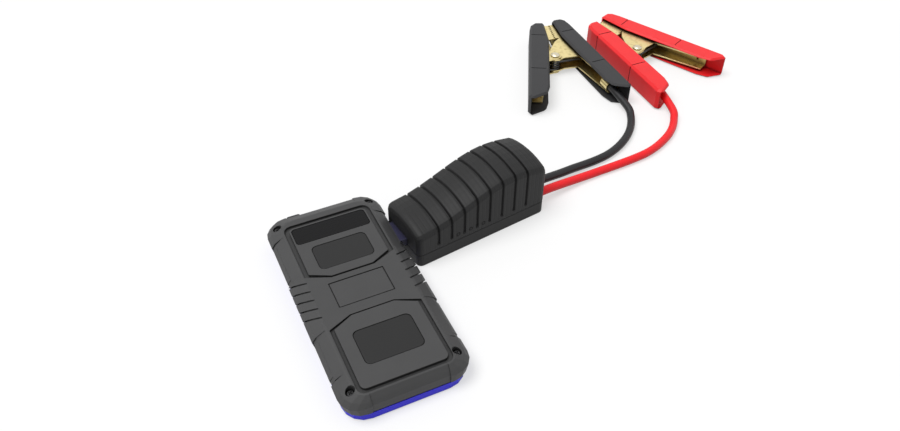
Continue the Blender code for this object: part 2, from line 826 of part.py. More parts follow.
def bottom_cover(pack, finish):
    cover = loft(
        "bottom_cover",
        [
            pack_ring(0, BASE_CHAMFER, BASE_CHAMFER, BASE_CHAMFER, BASE_CORNER_RADIUS - BASE_CHAMFER),
            pack_ring(BASE_CHAMFER, 0, 0, 0, BASE_CORNER_RADIUS),
            pack_ring(BASE_HEIGHT, 0, 0, 0, BASE_CORNER_RADIUS),
        ],
        finish,
        parent=pack,
    )
    hollow = loft(
        "bottom_hollow",
        [
            pack_ring(FLOOR, WALL, WALL, WALL, BASE_CORNER_RADIUS - WALL),
            pack_ring(BASE_HEIGHT + OVERCUT, WALL, WALL, WALL, BASE_CORNER_RADIUS - WALL),
        ],
        parent=pack,
    )
    cut(cover, hollow)
    for i, (x, y) in enumerate(screw_places()):
        bore = SCREW_SHANK_RADIUS + GAP
        radius = bore + BOSS_WALL
        fuse(cover, rod(f"boss_{i + 1}", (x, y), radius, FLOOR / 2, BASE_HEIGHT, sides=16, parent=pack))
        cut(cover, rod(f"boss_bore_{i + 1}", (x, y), bore, FLOOR, PACK_HEIGHT, sides=12, parent=pack))
    for i, (x, y) in enumerate(board_posts()):
        radius, high = BOARD_POST_RADIUS, BOARD_LOW - GAP
        fuse(cover, rod(f"board_post_{i + 1}", (x, y), radius, FLOOR / 2, high, sides=12, parent=pack))
    return cover


def case_screw(name, finish, parent, location, length):
    """A pan-head screw, head up, with its seat at the location; the drive is a cross-shaped recess."""
    made = turned(
        name,
        [
            (0, SCREW_HEAD),
            (SCREW_HEAD_RADIUS * 0.7, SCREW_HEAD),
            (SCREW_HEAD_RADIUS, SCREW_HEAD * 0.5),
            (SCREW_HEAD_RADIUS, 0),
            (SCREW_SHANK_RADIUS, 0),
            (SCREW_SHANK_RADIUS, -length + SCREW_SHANK_RADIUS),
            (0, -length),
        ],
        finish,
        sides=16,
        parent=parent,
        location=location,
    )
    slot = SCREW_HEAD_RADIUS * 0.55
    for turn in (0, pi / 2):
        cutter = box(
            f"{name}_drive",
            (-slot, -0.3, SCREW_HEAD * 0.45),
            (slot, 0.3, SCREW_HEAD + 1),
            parent=parent,
            location=location,
            rotation=(0, 0, turn + pi / 4),
        )
        cut(made, cutter)
    return made


# Pack contents


def board_posts():
    reach = PACK_WIDTH / 2 - WALL - WALL_LEAN - 7
    far = INNER_FAR - 17
    return [(-reach, far), (-reach, PLUG_Y - PLUG_HALF), (2, PLUG_Y - PLUG_HALF), (reach, far)]


def socket_back():
    """Where the socket's back wall starts, on X."""
    return PACK_WIDTH / 2 - PLUG_DEPTH - SOCKET_BACK - GAP


def jump_socket(pack, finish):
    half = PLUG_HALF + GAP + SOCKET_SIDE_WALL
    rise = PLUG_HEIGHT / 2 + GAP + SOCKET_WALL
    housing = box(
        "jump_socket",
        (socket_back(), PLUG_Y - half, PLUG_MIDDLE - rise),
        (PACK_WIDTH / 2 - WALL - 2 * GAP, PLUG_Y + half, PLUG_MIDDLE + rise),
        finish,
        parent=pack,
    )
    bevel(housing, 0.4)
    mouth = plug_outline(GAP)
    low = PACK_WIDTH / 2 - PLUG_DEPTH - GAP
    cut(housing, plate("socket_mouth", mouth, low, PACK_WIDTH, axis="X", parent=pack))
    for i in (-1, 1):
        y = PLUG_Y + i * CONTACT_SPACING / 2
        name = f"pin_hole_{(i + 3) // 2}"
        cut(housing, rod(name, (y, PLUG_MIDDLE), PIN_RADIUS + GAP, 0, PACK_WIDTH / 2, axis="X", parent=pack))
    return housing


def plug_outline(grow=0.0, y=PLUG_Y):
    """The plug across its way in: a box with two cut corners, which stops it going in turned over."""
    half, rise = PLUG_HALF + grow, PLUG_HEIGHT / 2 + grow
    low, high = PLUG_MIDDLE - rise, PLUG_MIDDLE + rise
    return [
        (y - half + PLUG_CHAMFER, low),
        (y + half - PLUG_CHAMFER, low),
        (y + half, low + PLUG_CHAMFER),
        (y + half, high),
        (y - half, high),
        (y - half, low + PLUG_CHAMFER),
    ]


def contact_y(i):
    return (i - 0.5) * CONTACT_SPACING


def socket_pins(pack, finish):
    for i in (0, 1):
        rod(
            f"socket_pin_{i + 1}",
            (PLUG_Y + contact_y(i), PLUG_MIDDLE),
            PIN_RADIUS,
            socket_back() - PIN_TAIL,
            PACK_WIDTH / 2 - WALL - 3.0,
            finish,
            axis="X",
            sides=16,
            parent=pack,
        )


def busbars(pack, finish):
    """Flat bars from the pins' tails to the cells' tabs."""
    start = socket_back() - PIN_TAIL - GAP
    cells_far = cell_box(0)[1][1]
    half = BUSBAR_WIDTH / 2
    for name, i, run in (("negative_busbar", 0, 5.0), ("positive_busbar", 1, 11.0)):
        y = PLUG_Y + contact_y(i)
        x = start - run
        outline = [
            (start, y + half),
            (x - half, y + half),
            (x - half, cells_far + GAP),
            (x + half, cells_far + GAP),
            (x + half, y - half),
            (start, y - half),
        ]
        plate(name, outline, PLUG_MIDDLE - BUSBAR / 2, PLUG_MIDDLE + BUSBAR / 2, finish, parent=pack)


def cell_box(i):
    """Lowest and highest corners of a cell; they lie on the floor, one on another."""
    low = FLOOR + GAP + i * (CELL_THICKNESS + GAP)
    half = PACK_WIDTH / 2 - CELL_SIDE_MARGIN
    near = -PACK_LENGTH / 2 + SCREW_END_MARGIN + SCREW_HEAD_RADIUS + GAP + BOSS_WALL + CELL_CLEAR
    far = PLUG_Y - PLUG_HALF - SOCKET_SIDE_WALL - 3.0
    return (-half, near, low), (half, far, low + CELL_THICKNESS)


def battery_cells(pack, finish):
    for i in range(CELL_COUNT):
        low, high = cell_box(i)
        bevel(box(f"battery_cell_{i + 1}", low, high, finish, parent=pack), 1.0, 2)


def main_board(pack, finish):
    """An L-shaped board that leaves room for the socket."""
    reach = PACK_WIDTH / 2 - WALL - WALL_LEAN - 1.5
    near = PLUG_Y - PLUG_HALF - SOCKET_SIDE_WALL
    step = PLUG_Y + PLUG_HALF + SOCKET_SIDE_WALL + 2
    far = INNER_FAR - 1.0
    corner = SCREW_END_MARGIN + 2
    outline = [
        (-reach, near),
        (socket_back() - 3, near),
        (socket_back() - 3, step),
        (reach, step),
        (reach, far - corner),
        (reach - corner, far - corner),
        (reach - corner, far),
        (-reach + corner, far),
        (-reach + corner, far - corner),
        (-reach, far - corner),
    ]
    board = plate("main_board", outline, BOARD_LOW, BOARD_HIGH, finish, parent=pack)
    return board


def port(name, pack, finish, x, width, height, length, tongue):
    """A sheet-metal port shell, open to the far end, with its tongue inside."""
    base = BOARD_HIGH + GAP
    mouth = PACK_LENGTH / 2 - 1.0
    half = width / 2
    shell = box(name, (x - half, mouth - length, base), (x + half, mouth, base + height), finish, parent=pack)
    bevel(shell, 0.5, 2)
    inner = box(
        f"{name}_inside",
        (x - half + PORT_SHELL, mouth - length + PORT_SHELL, base + PORT_SHELL),
        (x + half - PORT_SHELL, mouth + OVERCUT, base + height - PORT_SHELL),
        parent=pack,
    )
    cut(shell, inner)
    middle = base + height / 2
    blade = box(
        f"{name}_tongue",
        (x - half * 0.72, mouth - length + PORT_SHELL / 2, middle + tongue[0]),
        (x + half * 0.72, mouth - 1.5, middle + tongue[1]),
        parent=pack,
    )
    fuse(shell, blade)
    return shell


def torch(pack, lens_finish, led_finish):
    face = PACK_LENGTH / 2 + 0.2
    lens = turned(
        "torch_lens",
        [
            (0, 0.6),
            (TORCH_RADIUS * 0.6, 0.35),
            (TORCH_RADIUS, 0),
            (TORCH_RADIUS, -3.0 - WALL),
            (TORCH_RADIUS * 0.55, -5.5 - WALL),
            (0, -5.5 - WALL),
        ],
        lens_finish,
        sides=24,
        parent=pack,
        location=(TORCH_X, face, TORCH_HEIGHT),
        rotation=(-pi / 2, 0, 0),
    )
    back = face - 5.5 - WALL - GAP
    box(
        "torch_led",
        (TORCH_X - 2.0, back - 2.4, BOARD_HIGH + GAP),
        (TORCH_X + 2.0, back, TORCH_HEIGHT + 2.0),
        led_finish,
        parent=pack,
    )
    return lens


def power_button(pack, finish, switch_finish):
    wall = PACK_LENGTH / 2
    half, rise = BUTTON_WIDTH / 2, BUTTON_HEIGHT / 2
    inner = INNER_FAR - GAP
    outline = [(z, x) for x, z in rounded_box(-half, -rise, half, rise, 1.2)]
    button = plate(
        "power_button",
        outline,
        inner - 0.5 - wall,
        BUTTON_STAND,
        finish,
        axis="Y",
        parent=pack,
        location=(BUTTON_X, wall, BUTTON_MIDDLE),
    )
    bevel(button, 0.5, 2)
    flange = box(
        "button_flange",
        (-half - BUTTON_FLANGE, inner - 1.2 - wall, -rise - BUTTON_FLANGE * 0.6),
        (half + BUTTON_FLANGE, inner - wall, rise - BUTTON_FLANGE * 0.8),
        parent=pack,
        location=(BUTTON_X, wall, BUTTON_MIDDLE),
    )
    fuse(button, flange)
    reach = inner - 1.2 - BUTTON_TRAVEL - GAP
    size = SWITCH_SIZE / 2
    switch = box(
        "button_switch",
        (BUTTON_X - size, reach - 5.0, BOARD_HIGH + GAP),
        (BUTTON_X + size, reach - 0.8, BUTTON_MIDDLE + size - 0.4),
        switch_finish,
        parent=pack,
    )
    bevel(switch, 0.3)
    centre = (BUTTON_MIDDLE - 0.6, BUTTON_X)
    stem = rod("switch_stem", centre, STEM_RADIUS, reach - 2.0, reach, axis="Y", sides=12, parent=pack)
    fuse(switch, stem)
    return button


def inlay_pieces(pack, finishes):
    for name, outline in inlays().items():
        level = PACK_HEIGHT if name != "badge_plate" else RIM_HEIGHT
        seat = level - inlay_depth(name)
        piece = plate(name, outline(0), seat + GAP, level - PIECE_SINK * 0.5, finishes[name], parent=pack)
        bevel(piece, 0.15)


def display_panel(pack, finish):
    outline = inlays()["display_window"](-2.4 - GAP)
    window_seat = PACK_HEIGHT - DISPLAY_DEPTH
    plate("display_panel", outline, window_seat - 1.6, window_seat, finish, parent=pack)


# Cable module, in its own frame


def module_height(x):
    """Height of the crown: it climbs from the plug end to the hump and falls to the cable end."""
    hump = MODULE_LENGTH - HUMP_FROM_END
    if x < hump:
        share = (max(x, 0) / hump) ** HUMP_LAG
        share = share * share * (3 - 2 * share)
        return PLUG_END_HEIGHT + (HUMP_HEIGHT - PLUG_END_HEIGHT) * share
    share = (x - hump) / HUMP_FROM_END
    return HUMP_HEIGHT - (HUMP_HEIGHT - CABLE_END_HEIGHT) * share * share


def module_section(x, low, inset=0.0, groove=0.0, steps=3):
    """The module across its length at x: flat sides, rounded shoulders and a crowned top."""
    half = MODULE_WIDTH / 2 - inset
    crown = module_height(x) - inset - groove
    shoulder = crown - CROWN
    radius = MODULE_CORNER
    deep = groove * 0.9
    side = [(half, low), (half, max(low, RIB_FOOT - 0.8)), (half - deep, max(low + 0.1, RIB_FOOT))]
    for step in range(steps + 1):
        angle = pi / 2 * step / steps
        y = half - deep - radius + radius * cos(angle)
        z = shoulder - radius + radius * sin(angle) + CROWN * 0.22 * step / steps
        side.append((y, z))
    top_y, top_z = side[-1]
    for share in (0.66, 0.33):
        y = top_y * share
        side.append((y, top_z + (crown - top_z) * (1 - share * share)))
    section = [*side, (0, crown), *[(-y, z) for y, z in reversed(side)]]
    return [(x, y, z) for y, z in section]


def rib_line(i):
    return RIB_START + i * RIB_PITCH


def corner_inset(x):
    """How far the module's rounded end draws in at a distance x from it."""
    return MODULE_CORNER * 0.9 * (1 - sin(acos(1 - x / MODULE_CORNER)))


def module_stations():
    """(distance, inset, groove depth) of each section: rounded ends, and a groove before every rib."""
    stations = [(x, corner_inset(x), 0.0) for x in CORNER_STEPS]
    stations.append((MODULE_CORNER, 0.0, 0.0))
    for i in range(RIB_COUNT):
        x = rib_line(i)
        stations.append((x - RIB_WIDTH / 2, 0.0, 0.0))
        stations.append((x - RIB_WIDTH / 4, 0.0, RIB_DEPTH))
        stations.append((x + RIB_WIDTH / 5, 0.0, RIB_DEPTH))
        stations.append((x + RIB_WIDTH / 2, 0.0, 0.0))
    end = MODULE_LENGTH
    stations.append((end - MODULE_CORNER, 0.0, 0.0))
    for back in reversed(CORNER_STEPS):
        stations.append((end - back, corner_inset(back), 0.0))
    return stations


def module_outline(low_x, high_x, inset):
    """The module's plan between two distances, with rounded corners."""
    half = MODULE_WIDTH / 2 - inset
    return rounded_box(low_x, -half, high_x, half, MODULE_CORNER)


def led_place(i):
    """Each light pipe stands midway between two grooves."""
    return rib_line(LED_RIBS[i]) + RIB_PITCH / 2


def module_covers(module, plug_frame, finish):
    top = loft(
        "module_top_cover",
        [module_section(x, MODULE_COVER_START, inset, groove) for x, inset, groove in module_stations()],
        finish,
        smooth=True,
        parent=module,
    )
    start, end = MODULE_WALL, MODULE_LENGTH - MODULE_WALL
    spaces = [start + (end - start) * step / 8 for step in range(9)]
    sections = [module_section(x, 0.0, MODULE_WALL, 0.0 if x == end else RIB_DEPTH) for x in spaces]
    hollow = loft("module_hollow", sections, parent=module)
    cut(top, hollow)
    for i, x in enumerate(MODULE_SCREWS):
        post_low = MODULE_BOARD_HIGH + GAP
        post_high = module_height(x) - MODULE_WALL
        fuse(top, rod(f"module_post_{i + 1}", (x, 0), MODULE_POST_RADIUS, post_low, post_high, parent=module))
        bore = SCREW_SHANK_RADIUS + GAP
        cut(top, rod(f"module_bore_{i + 1}", (x, 0), bore, 0, post_low + 9, sides=12, parent=module))
    for name, y in (("black", BLACK_EXIT), ("red", RED_EXIT)):
        hole = CABLE_RADIUS + 2 * GAP + GROMMET_FLANGE
        low, high = end - OVERCUT, MODULE_LENGTH + OVERCUT
        cut(top, rod(f"{name}_cable_hole", (y, CABLE_HEIGHT), hole, low, high, axis="X", parent=module))
    for i in range(len(LED_RIBS)):
        centre = (LED_HEIGHT, led_place(i))
        low, high = -MODULE_WIDTH / 2 - OVERCUT, -MODULE_WIDTH / 2 + 2 * MODULE_WALL + RIB_DEPTH
        radius = LED_RADIUS + GAP
        cut(top, rod(f"led_hole_{i + 1}", centre, radius, low, high, axis="Y", sides=12, parent=module))
    way = plate("plug_hole", plug_outline(GAP, 0.0), -OVERCUT, PLUG_TAIL, axis="X", parent=plug_frame)
    cut(top, way)

    outline = module_outline(0, MODULE_LENGTH, 0)
    bottom = plate("module_bottom_cover", outline, 0, MODULE_BASE, finish, parent=module)
    bevel(bottom, 0.7, 2)
    tray = module_outline(MODULE_WALL, MODULE_LENGTH - MODULE_WALL, MODULE_WALL)
    cut(bottom, plate("module_tray", tray, FLOOR, MODULE_BASE + OVERCUT, parent=module))
    cut(bottom, way)
    for i, x in enumerate(MODULE_SCREWS):
        radius, high = MODULE_POST_RADIUS + 1, MODULE_BOARD_LIFT - GAP
        fuse(bottom, rod(f"stand_{i + 1}", (x, 0), radius, FLOOR / 2, high, parent=module))
        bore = SCREW_SHANK_RADIUS + GAP
        cut(bottom, rod(f"stand_bore_{i + 1}", (x, 0), bore, -1, MODULE_BASE, sides=12, parent=module))
        room = SCREW_HEAD_RADIUS + GAP
        cut(bottom, rod(f"head_room_{i + 1}", (x, 0), room, -1, SCREW_HEAD + 2 * GAP, parent=module))
    for name, y in (("black", BLACK_EXIT), ("red", RED_EXIT)):
        hole = CABLE_RADIUS + 2 * GAP + GROMMET_FLANGE
        low, high = MODULE_LENGTH - MODULE_WALL - OVERCUT, MODULE_LENGTH + OVERCUT
        cut(bottom, rod(f"{name}_cable_notch", (y, CABLE_HEIGHT), hole, low, high, axis="X", parent=module))


def module_contents(module, board_finish, relay_finish):
    outline = module_outline(PLUG_TAIL + 3.0, MODULE_LENGTH - CABLE_START - 1.0, MODULE_WALL + 1.5)
    board = plate("module_board", outline, MODULE_BOARD_LIFT, MODULE_BOARD_HIGH, board_finish, parent=module)
    for i, x in enumerate(MODULE_SCREWS):
        bore = SCREW_SHANK_RADIUS + GAP
        cut(board, rod(f"board_bore_{i + 1}", (x, 0), bore, 0, MODULE_BASE, sides=12, parent=module))
    high_x = MODULE_LENGTH - RELAY_FROM_END
    low = MODULE_BOARD_HIGH + GAP
    relay = box(
        "relay",
        (high_x - RELAY_LENGTH, -RELAY_WIDTH / 2, low),
        (high_x, RELAY_WIDTH / 2, low + RELAY_HEIGHT),
        relay_finish,
        parent=module,
    )
    bevel(relay, 0.6, 2)


def plug(frame, finish, metal):
    """The blue plug housing with a contact tube in each of its two bores."""
    inner = PLUG_TAIL
    outer = -MODULE_STAND - PLUG_DEPTH
    housing = plate("plug_housing", plug_outline(0.0, 0.0), outer, inner, finish, axis="X", parent=frame)
    bevel(housing, 0.35)
    for i in (0, 1):
        centre = (contact_y(i), PLUG_MIDDLE)
        bore = TUBE_RADIUS + GAP
        low, high = outer - OVERCUT, inner + OVERCUT
        cut(housing, rod(f"plug_bore_{i + 1}", centre, bore, low, high, axis="X", parent=frame))
        contact = rod(
            f"plug_contact_{i + 1}",
            centre,
            TUBE_RADIUS,
            outer + 0.8,
            inner + 4.0,
            metal,
            axis="X",
            sides=16,
            parent=frame,
        )
        depth = inner - GAP
        hollow = rod(
            f"contact_bore_{i + 1}",
            centre,
            PIN_RADIUS + GAP,
            outer - OVERCUT,
            depth,
            axis="X",
            sides=16,
            parent=frame,
        )
        cut(contact, hollow)


def led_lenses(module, finish):
    for i in range(len(LED_RIBS)):
        face = -MODULE_WIDTH / 2 - 0.1
        lens = rod(
            f"led_lens_{i + 1}",
            (LED_HEIGHT, led_place(i)),
            LED_RADIUS,
            face,
            face + MODULE_WALL + RIB_DEPTH + 1.2,
            finish,
            axis="Y",
            sides=16,
            parent=module,
        )
        bevel(lens, 0.15)


def grommet(name, module, finish, y):
    """A ring that holds the module's end wall in a groove round it, with the cable through it."""
    bore = CABLE_RADIUS + GAP
    neck = bore + GROMMET_FLANGE
    collar = neck + GROMMET_LIP
    wall = MODULE_WALL
    profile = [
        (bore, GAP + GROMMET_FLANGE),
        (collar - 0.5, GAP + GROMMET_FLANGE),
        (collar, GAP + GROMMET_FLANGE * 0.5),
        (collar, GAP),
        (neck, GAP),
        (neck, -wall - GAP),
        (collar, -wall - GAP),
        (collar, -wall - GAP - GROMMET_FLANGE),
        (bore, -wall - GAP - GROMMET_FLANGE),
        (bore, GAP + GROMMET_FLANGE),
    ]
    turned(
        name,
        profile,
        finish,
        sides=24,
        parent=module,
        location=(MODULE_LENGTH, y, CABLE_HEIGHT),
        rotation=(0, pi / 2, 0),
    )


# Clamps. A bar's own frame has its origin on the pivot and x towards the handle.


def bar_points(profile, side):
    """(s, t) points of a bar's profile in the bar's own frame; side is -1 for left, 1 for right."""
    offset = LEFT_OFFSET if side < 0 else RIGHT_OFFSET
    return [(s - PIVOT_FROM_TIP, side * (offset + t)) for s, t in profile]


def cover_profile():
    end, deep = CLAMP_LENGTH, BAR_DEPTH
    return [
        (-0.4, 4.2),
        (0.2, 12.0),
        (4.0, deep - 0.9),
        (11, deep),
        (end - 4, deep),
        (end, deep - 3),
        (end - 7.5, 2.0),
        (end - HANDLE_TAPER, 0),
        (25.5, 0),
    ]


def hollow_profile():
    end, back = CLAMP_LENGTH, BAR_DEPTH - BAR_BACK
    return [
        (1.4, -OVERCUT),
        (2.2, 10.4),
        (6.0, back - 1.0),
        (13, back),
        (end + OVERCUT, back),
        (end + OVERCUT, -OVERCUT),
    ]


def clamp_cover(name, half, side, finish):
    cover = plate(name, bar_points(cover_profile(), side), 0, CLAMP_THICKNESS, finish, parent=half)
    bevel(cover, BAR_CHAMFER)
    low, high = BAR_SIDE, CLAMP_THICKNESS - BAR_SIDE
    cut(cover, plate(f"{name}_hollow", bar_points(hollow_profile(), side), low, high, parent=half))
    for i, s in enumerate((SEAM_TIP, SEAM_HANDLE)):
        for j, level in enumerate((CLAMP_THICKNESS - SEAM_DEPTH, -OVERCUT + SEAM_DEPTH)):
            strip = [(s, 3.0), (s, BAR_DEPTH + 1), (s + SEAM_WIDTH, BAR_DEPTH + 1), (s + SEAM_WIDTH, 3.0)]
            seam = plate(f"{name}_seam_{i}{j}", bar_points(strip, side), level, level + OVERCUT, parent=half)
            cut(cover, seam)
        back = BAR_DEPTH - SEAM_DEPTH
        strip = [(s, back), (s, back + 3), (s + SEAM_WIDTH, back + 3), (s + SEAM_WIDTH, back)]
        outline = bar_points(strip, side)
        cut(cover, plate(f"{name}_back_seam_{i}", outline, -1, CLAMP_THICKNESS + 1, parent=half))
    return cover


def contact_depth(p, side):
    """How far out from the pivot's line the closed jaws meet, at a distance p towards the tip."""
    clear = GAP / 2
    if side < 0:
        return (p * sin(HALF_SPREAD) - (CONTACT_LINE - clear)) / cos(HALF_SPREAD)
    return (p * sin(HALF_SPREAD) + CONTACT_LINE + clear) / cos(HALF_SPREAD)


def jaw_flange(side):
    """One flange of a stamped jaw: teeth at the tip, the round of the post's seat, and the ear."""
    offset = LEFT_OFFSET if side < 0 else RIGHT_OFFSET
    tip = PIVOT_FROM_TIP - 2.2
    points = []
    for i in range(TOOTH_COUNT):
        p = tip - i * TOOTH_PITCH
        points.append((p, contact_depth(p, side)))
        points.append((p - TOOTH_PITCH * 0.75, contact_depth(p, side) + TOOTH_DEPTH))
    base = offset + 1.0
    last = tip - TOOTH_COUNT * TOOTH_PITCH
    points.append((last, contact_depth(last, side)))
    if side < 0:
        points += [(last - 3.0, base), (EAR_RADIUS + 3, base), (EAR_RADIUS, 0)]
        ear = [-angle for angle in (30, 60, 90, 120, 150)]
    else:
        points += [(last - 1.5, base - 2.0), (last - 5.5, base * 0.55), (EAR_RADIUS + 7.0, 2.0)]
        ear = [-angle for angle in (50, 70, 90, 120, 150)]
    points += [(EAR_RADIUS * cos(radians(angle)), EAR_RADIUS * sin(radians(angle))) for angle in ear]
    handle = -(CLAMP_LENGTH - JAW_END_MARGIN - PIVOT_FROM_TIP)
    back = offset + BAR_DEPTH - BAR_BACK - GAP
    if side < 0:
        points += [(-EAR_RADIUS, 0), (-EAR_RADIUS - 3, base)]
    else:
        points += [(-EAR_RADIUS, 2.0), (-EAR_RADIUS + 1.0, base * 0.4), (-EAR_RADIUS - 1.0, base)]
    points += [
        (handle, base + 4.0),
        (handle, back),
        (PIVOT_FROM_TIP - WEB_FROM_TIP, back),
        (PIVOT_FROM_TIP - WEB_CORNER_FROM_TIP, back - 1.9),
        (tip - 1.2, offset + 8.0),
    ]
    return [(-p, side * q) for p, q in points]


def jaw_levels(side):
    """Heights of a jaw's lower flange and upper flange; the right jaw nests inside the left one."""
    step = BAR_SIDE + GAP
    if side > 0:
        step += JAW_SHEET + GAP
    return step, CLAMP_THICKNESS - step - JAW_SHEET


def jaw(name, half, side, finish, holds_cable):
    low, high = jaw_levels(side)
    outline = jaw_flange(side)
    offset = LEFT_OFFSET if side < 0 else RIGHT_OFFSET
    made = plate(name, outline, low, low + JAW_SHEET, finish, parent=half)
    upper = plate(f"{name}_upper", outline, high, high + JAW_SHEET, parent=half)
    back = offset + BAR_DEPTH - BAR_BACK - GAP
    end = CLAMP_LENGTH - JAW_END_MARGIN - PIVOT_FROM_TIP
    web_low, web_high = sorted((side * (back - JAW_SHEET), side * back))
    web = box(
        f"{name}_web",
        (-PIVOT_FROM_TIP + WEB_FROM_TIP, web_low, low),
        (end, web_high, high + JAW_SHEET),
        parent=half,
    )
    fuse(made, web, upper)
    cut(made, rod(f"{name}_bore", (0, 0), PIVOT_RADIUS + GAP, -1, CLAMP_THICKNESS + 1, sides=16, parent=half))
    if holds_cable:
        # The sleeve is crimped round the cable, and a tab joins it to the web.
        bore = CABLE_RADIUS + GAP
        centre = (side * sleeve_axis(side), MIDDLE)
        start = end - SLEEVE_LENGTH
        ring = rod(f"{name}_sleeve", centre, bore + SLEEVE_WALL, start, end, axis="X", parent=half)
        tab_low, tab_high = sorted((side * (sleeve_axis(side) + bore), side * (back - JAW_SHEET / 2)))
        tab = box(
            f"{name}_tab",
            (start + 1, tab_low, MIDDLE - 1.0),
            (end - 1, tab_high, MIDDLE + 1.0),
            parent=half,
        )
        fuse(made, tab, ring)
        low, high = start - SLEEVE_LENGTH, end + OVERCUT
        cut(made, rod(f"{name}_sleeve_bore", centre, bore, low, high, axis="X", parent=half))
    else:
        slot_low, slot_high = sorted((side * (back - SLOT_HALF), side * (back + SLOT_HALF)))
        low = (end - SLOT_FROM_END, slot_low, MIDDLE - SLOT_HALF)
        high = (end - SLOT_FROM_END + SLOT_WIDTH, slot_high, MIDDLE + SLOT_HALF)
        cut(made, box(f"{name}_slot", low, high, parent=half))
    return made


def pivot_pin(name, clamp, finish):
    low = jaw_levels(-1)[0] - GAP
    head = low - GAP
    high = CLAMP_THICKNESS - low
    turned(
        name,
        [
            (0, high + head),
            (PIVOT_HEAD_RADIUS * 0.6, high + head),
            (PIVOT_HEAD_RADIUS, high + head * 0.4),
            (PIVOT_HEAD_RADIUS, high),
            (PIVOT_RADIUS, high),
            (PIVOT_RADIUS, low),
            (PIVOT_HEAD_RADIUS, low),
            (PIVOT_HEAD_RADIUS, low - head * 0.4),
            (PIVOT_HEAD_RADIUS * 0.6, low - head),
            (0, low - head),
        ],
        finish,
        sides=20,
        parent=clamp,
    )


def from_bar(x, depth, side):
    """A point of a bar's frame, at rest, in the clamp's frame."""
    turn = side * HALF_SPREAD
    y = side * depth
    return x * cos(turn) - y * sin(turn), x * sin(turn) + y * cos(turn)


def spring(name, clamp, finish):
    """A coil round the pin, with a straight leg to each jaw's web."""
    low = jaw_levels(1)[0] + JAW_SHEET + GAP + SPRING_WIRE / 2
    high = CLAMP_THICKNESS - low
    inner = BAR_DEPTH - BAR_BACK - GAP - JAW_SHEET - GAP - SPRING_WIRE / 2
    first = from_bar(LEG_REACH, LEFT_OFFSET + inner, -1)
    last = from_bar(LEG_REACH, RIGHT_OFFSET + inner, 1)
    start = atan2(first[1], first[0]) + acos(SPRING_RADIUS / hypot(*first))
    end = atan2(last[1], last[0]) - acos(SPRING_RADIUS / hypot(*last)) + 2 * pi * SPRING_TURNS
    steps = 14 * SPRING_TURNS
    points = [(*first, low)]
    for step in range(steps + 1):
        share = step / steps
        angle = start + (end - start) * share
        points.append((SPRING_RADIUS * cos(angle), SPRING_RADIUS * sin(angle), low + (high - low) * share))
    points.append((*last, high))
    tube(name, points, SPRING_WIRE / 2, finish, parent=clamp)


def strap(name, clamp, finish):
    """A thin strip from one jaw's web past the coil to the other's."""
    inner = BAR_DEPTH - BAR_BACK - GAP - JAW_SHEET - 2 * GAP - STRAP_THICKNESS / 2
    right, left = RIGHT_OFFSET + inner, LEFT_OFFSET + inner
    near, far = STRAP_REACH + STRAP_LAP / 2, STRAP_REACH - STRAP_LAP / 2
    beside_coil = -SPRING_RADIUS - SPRING_WIRE / 2 - STRAP_CLEAR
    route = [
        (*from_bar(far, right, 1), 0),
        (*from_bar(near, right, 1), 0),
        (*from_bar(near + STRAP_BEND / 2, right - STRAP_BEND, 1), 0),
        (beside_coil, STRAP_BEND, 0),
        (beside_coil, -STRAP_BEND, 0),
        (*from_bar(near, left - STRAP_BEND, -1), 0),
        (*from_bar(near - STRAP_BEND / 2, left, -1), 0),
        (*from_bar(far - STRAP_BEND / 2, left, -1), 0),
    ]
    middle = smooth_route(route, 2.5)
    left, right = [], []
    for i, point in enumerate(middle):
        ahead = middle[min(i + 1, len(middle) - 1)] - middle[max(i - 1, 0)]
        normal = Vector((-ahead.y, ahead.x)).normalized() * STRAP_THICKNESS / 2
        left.append((point.x + normal.x, point.y + normal.y))
        right.append((point.x - normal.x, point.y - normal.y))
    outline = left + right[::-1]
    plate(name, outline, MIDDLE - STRAP_WIDTH / 2, MIDDLE + STRAP_WIDTH / 2, finish, parent=clamp)


def sleeve_axis(side):
    """How far out from the pivot's line the cable's sleeve lies in the bar of one side."""
    return (LEFT_OFFSET if side < 0 else RIGHT_OFFSET) + SLEEVE_DEPTH


def cable_route(free, exit_y, pivot, bisector, side):
    """A cable from inside the module through its grommet, its free part, and into the clamp's sleeve."""
    route = []
    for x in (MODULE_LENGTH - CABLE_START, MODULE_LENGTH - CABLE_START / 2, MODULE_LENGTH + 1.0):
        along_x = x * cos(MODULE_YAW) - exit_y * sin(MODULE_YAW)
        along_y = x * sin(MODULE_YAW) + exit_y * cos(MODULE_YAW)
        route.append((MODULE_STAND + along_x, MODULE_SIDE + along_y, CABLE_HEIGHT))
    route += free
    sleeve_end = CLAMP_LENGTH - JAW_END_MARGIN - PIVOT_FROM_TIP
    for x in (sleeve_end + 6, sleeve_end + 0.5, sleeve_end - SLEEVE_LENGTH + 1):
        bar_x, bar_y = from_bar(x, sleeve_axis(side), side)
        route.append(
            (
                pivot[0] + bar_x * cos(bisector) - bar_y * sin(bisector),
                pivot[1] + bar_x * sin(bisector) + bar_y * cos(bisector),
                MIDDLE,
            )
        )
    smooth = smooth_route(route, ROUTE_STEP)
    return [(point.x, point.y, max(point.z, CABLE_RADIUS)) for point in smooth]


